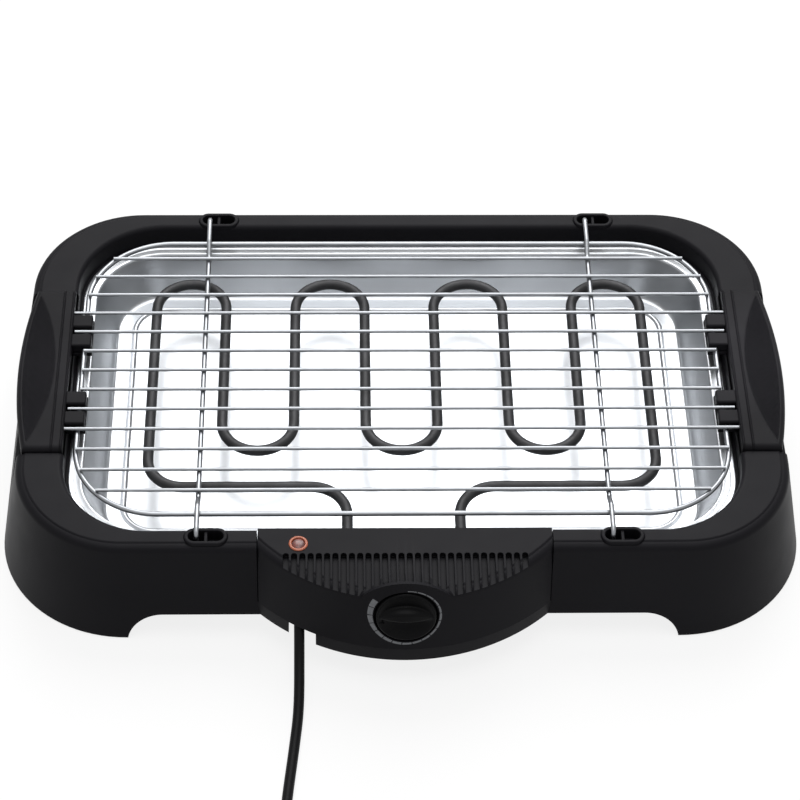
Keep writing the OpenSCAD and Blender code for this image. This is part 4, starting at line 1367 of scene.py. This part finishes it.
    def build(self) -> None:
        """Makes the ring and dresses it."""
        sheet = self.sheet()
        solid = self.hollow(1.0)
        walls = self.inner_walls(solid)
        bpy.data.objects.remove(solid.obj)
        sheet.combine(self.hollow(self.wall), Cut.REMOVE)
        for cutter in self.cutters():
            sheet.combine(cutter, Cut.REMOVE)
        posts = [Bench.drum("post", (self.pad_radius,) * 2, (self.foot, 65),
                            (x * self.pads[0], y * self.pads[1]), 32)
                 for x in (-1, 1) for y in (-1, 1)]
        sheet.join(walls + posts + [self.gate_wall()])
        sheet.finish(SHELL, Body.BASE, "frame_plastic", "base_frame", smooth=30)
        self.skirt().finish(SHELL, Body.BASE, "frame_plastic", smooth=30)
        self.sockets()

    def sockets(self) -> None:
        """Makes the four oval inserts that the rack's legs stand in."""
        made = []
        for x in (-1, 1):
            for y in (-1, 1):
                rim = Bench.plate("leg_inserts", self.insert, 6.19, 65.6, 14)
                with rim.editing():
                    rim.rings([(0.15, 1.9), (0.3, 0.45), (0.45, 0.2), (1.0, 0.02), (0.4, -0.15),
                               (0.25, -0.5), (0.15, -16)])
                bar = Bench.box("bar", (-0.9, -4, 50.5), (0.9, 4, 66.9)).soften(0.35)
                block = Bench.box("block", (0.9, -4, 50.5), (10.6, 4, 60)).soften(0.2)
                rim.join([bar, block])
                made.append(rim.put(self.socket_place(x, y)))
        made[0].join(made[1:]).finish(SHELL, Body.BASE, "frame_plastic", "leg_sockets")


# -------------------------------------------------------------------- the tray


@dataclass
class DripTray:
    """Bright pressed tray with a rolled rim, sloping walls and a beaded floor."""

    size: tuple[float, float] = (389.8, 241.8)
    corner: float = 49.4
    rim: float = 54
    gate: tuple[float, float, float] = (41, -104.9, 44.6)

    def build(self) -> None:
        """Makes the tray and dresses it."""
        tray = Bench.plate("tray_pan", self.size, self.corner, self.rim - 0.9, 24)
        with tray.editing():
            # Rolled lip, step, flat and the start of the wall
            tray.rings([(0.15, 0.4), (0.35, 0.3), (0.6, 0.17), (1.9, 0.03), (0.5, -0.15),
                        (0.3, -0.25), (0.4, -0.12), (2.6, 0), (0.7, 0.06), (0.6, -0.15),
                        (0.5, -0.55), (0.45, -1.0)])
            # Wall, its foot, the bead round the floor, and the floor
            tray.rings([(4.9, -11.77), (4.9, -11.77), (0.8, -1.35), (1.1, -0.75), (1.5, -0.2),
                        (6.3, 0), (0.5, 0.55), (0.7, 0.7), (0.8, 0.3), (0.8, -0.3),
                        (0.7, -0.7), (0.5, -0.55), (14, 0)])
        under = Bench.plate("under", self.size, self.corner, self.rim - 0.98, 24)
        with under.editing():
            under.rings([(6.9, 0), (1.1, -1.6), (9.75, -23.42), (3.6, -3.0), (30, 0)])
        tray.join([under])
        with tray.editing():
            tray.bridge(lambda p, e: True)
            bpy.ops.mesh.select_all(action="SELECT")
            tray.face_out()
        half, y, z = self.gate
        tray.combine(Bench.box("gate", (-half, -150, z), (half, y, 80)), Cut.REMOVE)
        tray.finish(TRAY_METAL, Body.TRAY, "tray_metal", "drip_tray", smooth=50)


# ------------------------------------------------------------ the control unit


@dataclass
class ControlUnit:
    """Bowed black housing with vents, lamp, dial scale and the heating element."""

    dial: tuple[float, float, float] = (0, -174.85, 52)
    tilt: float = math.degrees(math.atan(0.19))
    bow: tuple[float, float] = (112, 60)
    height: float = 67
    lean: float = 0.19
    lamp: tuple[float, float] = (-60.2, -133.9)
    tube: float = 6.4
    tube_z: float = 51
    pitch: float = 42.6
    front: float = -78
    turn_y: float = -50
    back: float = 88
    ends: float = 32.5
    entry: float = -134.2
    half: float = 83.3
    rear: float = -122.7
    foot: float = 28.3
    wall: float = 2.5
    unit_top: float = 5.0
    vents: tuple[int, float, float] = (30, 4.63, 3.4)
    vent_start: float = 18
    vent_depth: float = 3
    pod_r: float = 35.5
    pod_drop: float = 13.6
    pod_slope: float = 28
    pod_lip: float = 3.5
    slit: tuple[float, float] = (1.3, 0.5)
    well: tuple[float, float] = (18.2, 7)
    shaft_hole: float = 3.5
    tube_hole: float = 3.5
    lamp_hole: float = 4.5
    scale_inner: float = 18.8
    scale_marks: int = 18

    def bowed(self, name: str, low: float, high: float, inset: float) -> Bench:
        """Makes a stump of the bowed cone.

        Args:
            name: The piece's name.
            low: Lowest z.
            high: Highest z.
            inset: How far it stays inside the fascia.

        Returns:
            The closed stump.
        """
        r, y = self.bow
        radii = [r + self.lean * (self.height - z) - inset for z in (low, high)]
        return Bench.drum(name, radii, (low, high), (0, -y), 360)

    def pod(self, radius: float) -> Bench:
        """Makes the slanting cylinder that the dial's surround is cut from."""
        tube = Bench.drum("pod", (radius, radius), (-120, 40), (0, 0), 192)
        return tube.put(Matrix.Translation((0, self.dial[1], self.dial[2] - self.pod_drop))
                        @ Matrix.Rotation(math.radians(90 - self.pod_slope), 4, "X"))

    def plan(self, inset: float) -> Bench:
        """Makes the block that bounds the unit at its sides and its back."""
        side = self.half - inset
        return Bench.box("plan", (-side, -230, 0), (side, self.rear - inset, 120))

    def grooves(self) -> Bench:
        """Makes the cutter of the vents' grooves, round at their rear ends.

        Returns:
            The cutter.
        """
        count, pitch, wide = self.vents
        front, rear = -self.bow[1] - self.bow[0] - 20, self.rear - self.vent_start
        slots = []
        for i in range(count):
            slot = Bench.prism("slot", (wide, rear - front), wide / 2,
                               (self.height - self.vent_depth, 110), 6)
            x = (i - (count - 1) / 2) * pitch
            slots.append(slot.put(Matrix.Translation((x, (rear + front) / 2, 0))))
        cutter = slots[0].join(slots[1:])
        cutter.combine(self.pod(self.pod_r - self.vent_depth), Cut.REMOVE)
        lip = self.pod(self.pod_r + 1)
        lip.combine(self.bowed("behind", 10, 115, self.pod_lip), Cut.REMOVE)
        cutter.combine(lip, Cut.REMOVE)
        return cutter

    def shell(self) -> Bench:
        """Makes the housing: a bowed shell with a rounded brow, a dial surround and vents.

        Returns:
            The housing.
        """
        r, y = self.bow
        brow = self.height - SHOULDER_HEIGHT
        profile = [(0, self.foot), (r + self.lean * (self.height - self.foot), self.foot),
                   (r + self.lean * SHOULDER_HEIGHT, brow)]
        for inwards, up in SHOULDER:
            profile.append((profile[-1][0] - inwards, profile[-1][1] + up))
        shell = Bench.turned("control_shell", profile + [(0, self.height)], 360)
        shell.put(Matrix.Translation((0, -y, 0)))
        surround = self.bowed("surround", self.foot + 2, self.height + 20, 0)
        surround.combine(self.pod(self.pod_r), Cut.KEEP_COMMON)
        shell.combine(surround, Cut.JOIN)
        shell.combine(self.plan(0), Cut.KEEP_COMMON)
        shell.combine(self.grooves(), Cut.REMOVE)
        inside = self.bowed("inside", 5, self.height - self.unit_top, self.wall)
        inside.combine(self.plan(self.wall), Cut.KEEP_COMMON)
        shell.combine(inside, Cut.REMOVE)
        hollow = self.bowed("pod_inside", 40, self.height + 18, self.wall + 0.5)
        hollow.combine(self.pod(self.pod_r - self.vent_depth - 2), Cut.KEEP_COMMON)
        hollow.combine(self.plan(self.wall), Cut.KEEP_COMMON)
        shell.combine(hollow, Cut.REMOVE)
        bore, deep = self.well
        well = self.dial_drum("well", bore + self.wall, (-deep - self.wall, 0), 96)
        well.combine(self.bowed("front", self.foot + 2.6, self.height, 1), Cut.KEEP_COMMON)
        shell.combine(well, Cut.JOIN)
        shell.combine(self.dial_drum("bore", bore, (-deep, 30), 96), Cut.REMOVE)
        shell.combine(self.dial_drum("shaft", self.shaft_hole, (-20, 0), 32), Cut.REMOVE)
        count, pitch, wide = self.vents
        slits = []
        for i in range(count):
            x, rear = (i - (count - 1) / 2) * pitch, self.rear - self.vent_start
            low = (x - wide / 2 + 0.4, rear - self.slit[0], self.height - self.unit_top - 1)
            high = (x + wide / 2 - 0.4, rear - self.slit[1], self.height - 1)
            slits.append(Bench.box("slit", low, high))
        shell.combine(slits[0].join(slits[1:]), Cut.REMOVE)
        for x in (-self.ends, self.ends):
            hole = Bench.drum("tube_hole", (self.tube_hole,) * 2, (-6, 6), (0, 0), 32)
            hole.put(Matrix.Translation((x, self.rear, self.tube_z))
                     @ Matrix.Rotation(math.pi / 2, 4, "X"))
            shell.combine(hole, Cut.REMOVE)
        hole = Bench.drum("lamp_hole", (self.lamp_hole,) * 2, (self.height - 20, self.height + 20),
                          self.lamp, 48)
        shell.combine(hole, Cut.REMOVE)
        return shell

    def on_dial(self) -> Matrix:
        """Returns the place of the dial: X right, Y up the fascia, Z outwards."""
        return (Matrix.Translation(self.dial)
                @ Matrix.Rotation(math.radians(90 - self.tilt), 4, "X"))

    def dial_drum(self, name: str, radius: float, span: Numbers, sides: int) -> Bench:
        """Makes a cylinder on the dial's axis.

        Args:
            name: The piece's name.
            radius: Its radius.
            span: Where it starts and ends, outwards from the fascia.
            sides: Number of sides.

        Returns:
            The closed cylinder.
        """
        return Bench.drum(name, (radius, radius), span, (0, 0), sides).put(self.on_dial())

    def build(self) -> None:
        """Makes the unit's pieces."""
        self.shell().finish(SHELL, Body.CONTROL, "frame_plastic", "control_housing", smooth=35)
        self.element()
        self.lamp_ring()
        self.scale()

    def element(self) -> None:
        """Bends the heating element."""
        left = -3.5 * self.pitch
        corners = [(-self.ends, self.entry), (-self.ends, self.front), (left, self.front)]
        for i in range(0, 8, 2):
            a, b = left + i * self.pitch, left + (i + 1) * self.pitch
            corners += [(a, self.turn_y)] if i else []
            corners += [(a, self.back), (b, self.back)]
            corners += [(b, self.turn_y)] if i < 6 else []
        corners += [(-left, self.front), (self.ends, self.front), (self.ends, self.entry)]
        tube = Bench.tube("heating_tube", [(x, y, self.tube_z) for x, y in corners],
                          self.pitch / 2, self.tube, 20, 12)
        tube.finish(HEATED, Body.CONTROL, "element_steel", "heating_element", smooth=60)

    def lamp_ring(self) -> None:
        """Turns the lamp's ring and its lens."""
        place = Matrix.Translation((*self.lamp, self.height))
        ring = Bench.turned("lamp_collar", [
            (3.8, -3.8), (3.8, 0.3), (3.95, 0.62), (4.25, 0.78), (4.7, 0.8), (5.15, 0.62),
            (5.42, 0.3), (5.45, 0.06), (4.4, 0.06), (4.4, -3.8), (3.8, -3.8)], 48)
        ring.put(place).finish(LAMP_RING, Body.CONTROL, "lamp_ring", "lamp_bezel")
        lens = Bench.turned("lamp_glass", [
            (0, -3.9), (3.65, -3.9), (3.68, 0.1), (3.4, 0.34), (2.6, 0.66), (1.6, 0.9), (0.8, 1.0),
            (0, 1.03)], 40)
        lens.put(place).finish(LENS, Body.CONTROL, "lamp_red", "lamp_lens")

    def scale(self) -> None:
        """Prints the dial's scale: grey blocks that widen round the knob."""
        count, first, sweep = self.scale_marks, 88.0, -303.0
        marks = []
        for i in range(count):
            a0 = first + sweep * i / count
            a1 = first + sweep * (i + 1) / count + 1.6
            bpy.ops.mesh.primitive_grid_add(x_subdivisions=6, y_subdivisions=1, size=1)
            mark = Bench("scale_marks")

            def on_fascia(p: Vector, a0: float = a0, a1: float = a1, i: int = i) -> Vector:
                """Wraps a mark round the dial and onto the bowed fascia.

                Args:
                    p: A point of the flat mark.
                    a0: Angle where the mark starts, in degrees.
                    a1: Angle where it ends.
                    i: The mark's number.

                Returns:
                    The point on the fascia.
                """
                share = (i + p.x + 0.5) / count
                wide = (0.5 + 0.7 * min(1.0, share / 0.3)
                        + 2.3 * (max(0.0, share - 0.5) / 0.5) ** 1.3)
                r = self.scale_inner + (0.5 + p.y) * wide
                a = math.radians(a0 + (a1 - a0) * (p.x + 0.5))
                u, v = r * math.cos(a), r * math.sin(a)
                tilt = math.radians(self.tilt)
                z = self.dial[2] + v * math.cos(tilt)
                bow = self.bow[0] + self.lean * (self.height - z) + 0.06
                return Vector((u, -self.bow[1] - math.sqrt(bow * bow - u * u), z))

            mark.shape(on_fascia)
            marks.append(mark)
        scale = marks[0].join(marks[1:])
        scale.modify("SOLIDIFY", thickness=0.08, offset=0)
        scale.finish(INK, Body.CONTROL, "frame_plastic")


@dataclass
class DialKnob:
    """Round knob with a bowed grip across it."""

    radius: float = 17
    depth: float = 6.4
    grip: float = 3.3
    rim: float = 0.6

    def height(self, x: float, y: float) -> float:
        """Returns the face's height at a place on the knob.

        Args:
            x: Place along the grip.
            y: Place across it.

        Returns:
            The height above the dial's plane.
        """
        along = max(0.0, 1 - (x / 15.6) ** 2)
        out = math.hypot(x, y) / 15.8
        valley = self.rim - 0.25 - 2.4 * max(0.0, 1 - out ** 3)
        crest = self.rim - 0.9 + self.grip * along
        beside = max(0.0, y - 3.4 * along, -0.8 - y)
        ridge = crest - 0.25 * beside - 0.42 * beside ** 2
        share = max(0.0, min(1.0, 0.5 + (ridge - valley) / 1.6))
        return valley + (ridge - valley) * share + 0.8 * share * (1 - share)

    def build(self, place: Matrix) -> None:
        """Makes the knob and dresses it.

        Args:
            place: The dial's place.
        """
        bpy.ops.mesh.primitive_circle_add(vertices=96, radius=self.radius, fill_type="NGON",
                                          location=(0, 0, -self.depth))
        knob = Bench("dial_knob")
        knob.settle()
        with knob.editing():
            knob.extrude((0, 0, self.depth - 0.5))
            knob.rings([(0.15, 0.5), (0.35, 0.42), (0.5, 0.18)])
            knob.rings([(0.3, 0.0)] + [(0.4, 0.0)] * 38)
            bpy.ops.mesh.poke()
            bpy.ops.mesh.select_all(action="SELECT")
            knob.face_out()
        top = self.rim

        def mould(p: Vector) -> Vector:
            """Raises the face into the grip.

            Args:
                p: A point of the knob.

            Returns:
                Its new place.
            """
            r = math.hypot(p.x, p.y)
            if p.z > top - 0.05 and r < self.radius - 1.2:
                return Vector((p.x, p.y, self.height(p.x, p.y)))
            return p

        knob.shape(mould)
        mark = Bench.box("pointer", (-15.2, -4.6, -0.9), (-12.2, -4.1, 0.5)).soften(0.12)
        knob.join([mark])
        knob.put(place).finish(KNOB, Body.KNOB, "knob_plastic", "knob", smooth=50)


# -------------------------------------------------------------------- the rack


@dataclass
class Handle:
    """Bowed black grip with raised lines, a thumb hollow and two pairs of lugs."""

    inner: float = 197.5
    outer: float = 228
    half: float = 65
    arc: float = 305.3
    low: float = 52
    high: float = 70
    edge: float = 3.2
    lines: tuple[float, float] = (198.4, 203.9)
    line_size: tuple[float, float] = (0.7, 1.0)
    hollow: tuple[float, float, float, float] = (225, 19, 61, 2.2)
    lug_y: float = 31.43
    lug_step: float = 7.86
    lug: tuple[float, float, float, float, float] = (185.9, 199.5, 5.1, 62.9, 69.4)

    def side(self, y: float) -> float:
        """Returns the bowed side's X at a place along the grip."""
        return self.outer - self.arc + math.sqrt(self.arc ** 2 - y * y)

    def top(self, x: float, y: float) -> float:
        """Returns the top's height at a place on the grip.

        Args:
            x: Place across it.
            y: Place along it.

        Returns:
            The height.
        """
        z = self.high
        near = min(self.side(y) - x, self.half - abs(y))
        if near < self.edge:
            z -= self.edge - math.sqrt(max(0.0, self.edge ** 2 - (self.edge - near) ** 2))
        edge, reach, half, depth = self.hollow
        bow = edge - self.side(0) + self.side(y)
        width = reach * max(0.0, 1 - (y / half) ** 2)
        if width > 0 and bow - width < x < bow:
            share = (x - (bow - width)) / width
            z -= depth * width / reach * math.sin(math.pi * share) ** 0.8
        wide, rise = self.line_size
        for line in self.lines:
            z += rise * max(0.0, 1 - ((x - line) / wide) ** 2)
        return z

    def block(self, name: str) -> Bench:
        """Makes the right grip.

        Args:
            name: The piece's name.

        Returns:
            The grip with its lugs.
        """
        bpy.ops.mesh.primitive_grid_add(x_subdivisions=110, y_subdivisions=90, size=1)
        grip = Bench(name)
        with grip.editing():
            grip.extrude((0, 0, -1))
            grip.face_out()

        def mould(p: Vector) -> Numbers:
            """Spreads the unit block over the grip.

            Args:
                p: A point of the unit block.

            Returns:
                Its place on the grip.
            """
            y = self.half * math.sin(math.pi * p.y) if abs(p.y) < 0.5 else self.half * 2 * p.y
            x = self.inner + (self.side(y) - self.inner) * (p.x + 0.5)
            return x, y, self.top(x, y) if p.z > -0.5 else self.low

        grip.shape(mould)
        lugs = []
        near, far, half, low, high = self.lug
        for y in (-self.lug_y, self.lug_y):
            for step in (-self.lug_step, self.lug_step):
                lug = Bench.box("lug", (near, y + step - half, low), (far, y + step + half, high))
                lugs.append(lug.soften(1.3, 4))
        return grip.join(lugs)


@dataclass
class WireRack:
    """Chromed wire rack: rim, long rods, two leg wires and two handles."""

    size: tuple[float, float] = (380, 220)
    corner: float = 50
    rim_z: float = 64.8
    rim_wire: float = 3.2
    rod_wire: float = 2.2
    leg_wire: float = 3.0
    rods: int = 13
    rod_z: float = 67.52
    leg_x: float = 117.75
    leg_low: float = 64.88
    leg_high: float = 70
    leg_foot: float = 50.4
    socket_y: float = 128.7

    def reach(self, i: int, y: float) -> float:
        """Returns how far a rod reaches to each side.

        Args:
            i: The rod's number, from the back.
            y: Its place.

        Returns:
            Half its length.
        """
        if i in (3, 9):
            return 207.5
        if i in (4, 8):
            return 196.3
        past = abs(y) - self.size[1] / 2 + self.corner
        if past <= 0:
            return self.size[0] / 2
        return self.size[0] / 2 - self.corner + math.sqrt(self.corner ** 2 - past ** 2)

    def rod(self, i: int) -> Bench:
        """Makes one long rod.

        Args:
            i: The rod's number, from the back.

        Returns:
            The rod.
        """
        y = self.size[1] / 2 - (i + 1) * self.size[1] / (self.rods + 1)
        half = self.reach(i, y)
        rod = Bench.drum("long_rods", (self.rod_wire / 2,) * 2, (-half, half), (0, 0), 14)
        with rod.editing():
            for end in (-1, 1):
                rod.pick("FACE", lambda p, f, end=end: end * p.z > half - 0.01)
                rod.rings([(0.25, 0.0)])
        return rod.put(Matrix.Translation((0, y, self.rod_z))
                       @ Matrix.Rotation(math.pi / 2, 4, "Y"))

    def build(self) -> None:
        """Makes the rack and dresses it."""
        w, d = self.size[0] / 2, self.size[1] / 2
        ring = [(0, -d), (w, -d), (w, d), (-w, d), (-w, -d), (0, -d)]
        rim = Bench.tube("rim_wire", [(x, y, self.rim_z) for x, y in ring], self.corner,
                         self.rim_wire, 18, 24, closed=True)
        rim.finish(CHROME, Body.RACK, "rack_chrome", "rack_rim", smooth=60)
        rods = [self.rod(i) for i in range(self.rods)]
        rods[0].join(rods[1:]).finish(CHROME, Body.RACK, "rack_chrome", "rack_rods", smooth=60)
        side = [(-self.socket_y, self.leg_foot), (-self.socket_y, self.leg_high),
                (-d + 2, self.leg_high), (-d + 11, self.leg_low), (d - 11, self.leg_low),
                (d - 2, self.leg_high), (self.socket_y, self.leg_high),
                (self.socket_y, self.leg_foot)]
        legs = [Bench.tube("leg_wires", [(x * self.leg_x, y, z) for y, z in side], 4.2,
                           self.leg_wire, 16, 6) for x in (-1, 1)]
        legs[0].join(legs[1:]).finish(CHROME, Body.RACK, "rack_chrome", "rack_legs", smooth=60)
        grip = Handle().block("grip_right")
        grip.mirrored("grip_left").finish(GRIP, Body.RACK, "handle_plastic", "handle_left",
                                          smooth=50)
        grip.finish(GRIP, Body.RACK, "handle_plastic", "handle_right", smooth=50)


# ---------------------------------------------------------- pieces that stay


KEPT: tuple[tuple[Finish, tuple[str, ...]], ...] = (
    (FOOT, ("rubber_feet",)),
    (SHELL, ("control_cover", "cord_clamp")),
    (GRIP, ("handle_clamps",)),
    (STEEL, ("cover_screws", "element_flange", "thermostat_bracket", "thermal_fuse",
             "thermostat_shaft", "handle_screws")),
    (PALE, ("element_terminals", "neon_lamp", "terminal_block")),
    (BROWN, ("thermostat", "inner_wires")),
    (CORD, ("strain_relief", "cord_tail")),
    (PIN_METAL, ("plug_pins",)),
    (BRASS, ("plug_earth_clips",)),
)


def dress_kept() -> None:
    """Gives the frame's own pieces that stay their finishes."""
    for finish, nodes in KEPT:
        for node in nodes:
            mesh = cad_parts[node].data
            mesh.materials.clear()
            mesh.materials.append(finish.material())
            LOG.info("%s stays", node)


def main() -> None:
    """Builds the scene in order."""
    logging.basicConfig(level=logging.INFO, format="%(name)s: %(message)s")
    bpy.context.scene.view_settings.view_transform = "Standard"
    studio = Studio()
    studio.camera()
    MainsLead().build()
    FrameRing().build()
    DripTray().build()
    control = ControlUnit()
    control.build()
    DialKnob().build(control.on_dial())
    WireRack().build()
    dress_kept()
    studio.floor()
    studio.light()


if __name__ == "__main__":
    main()
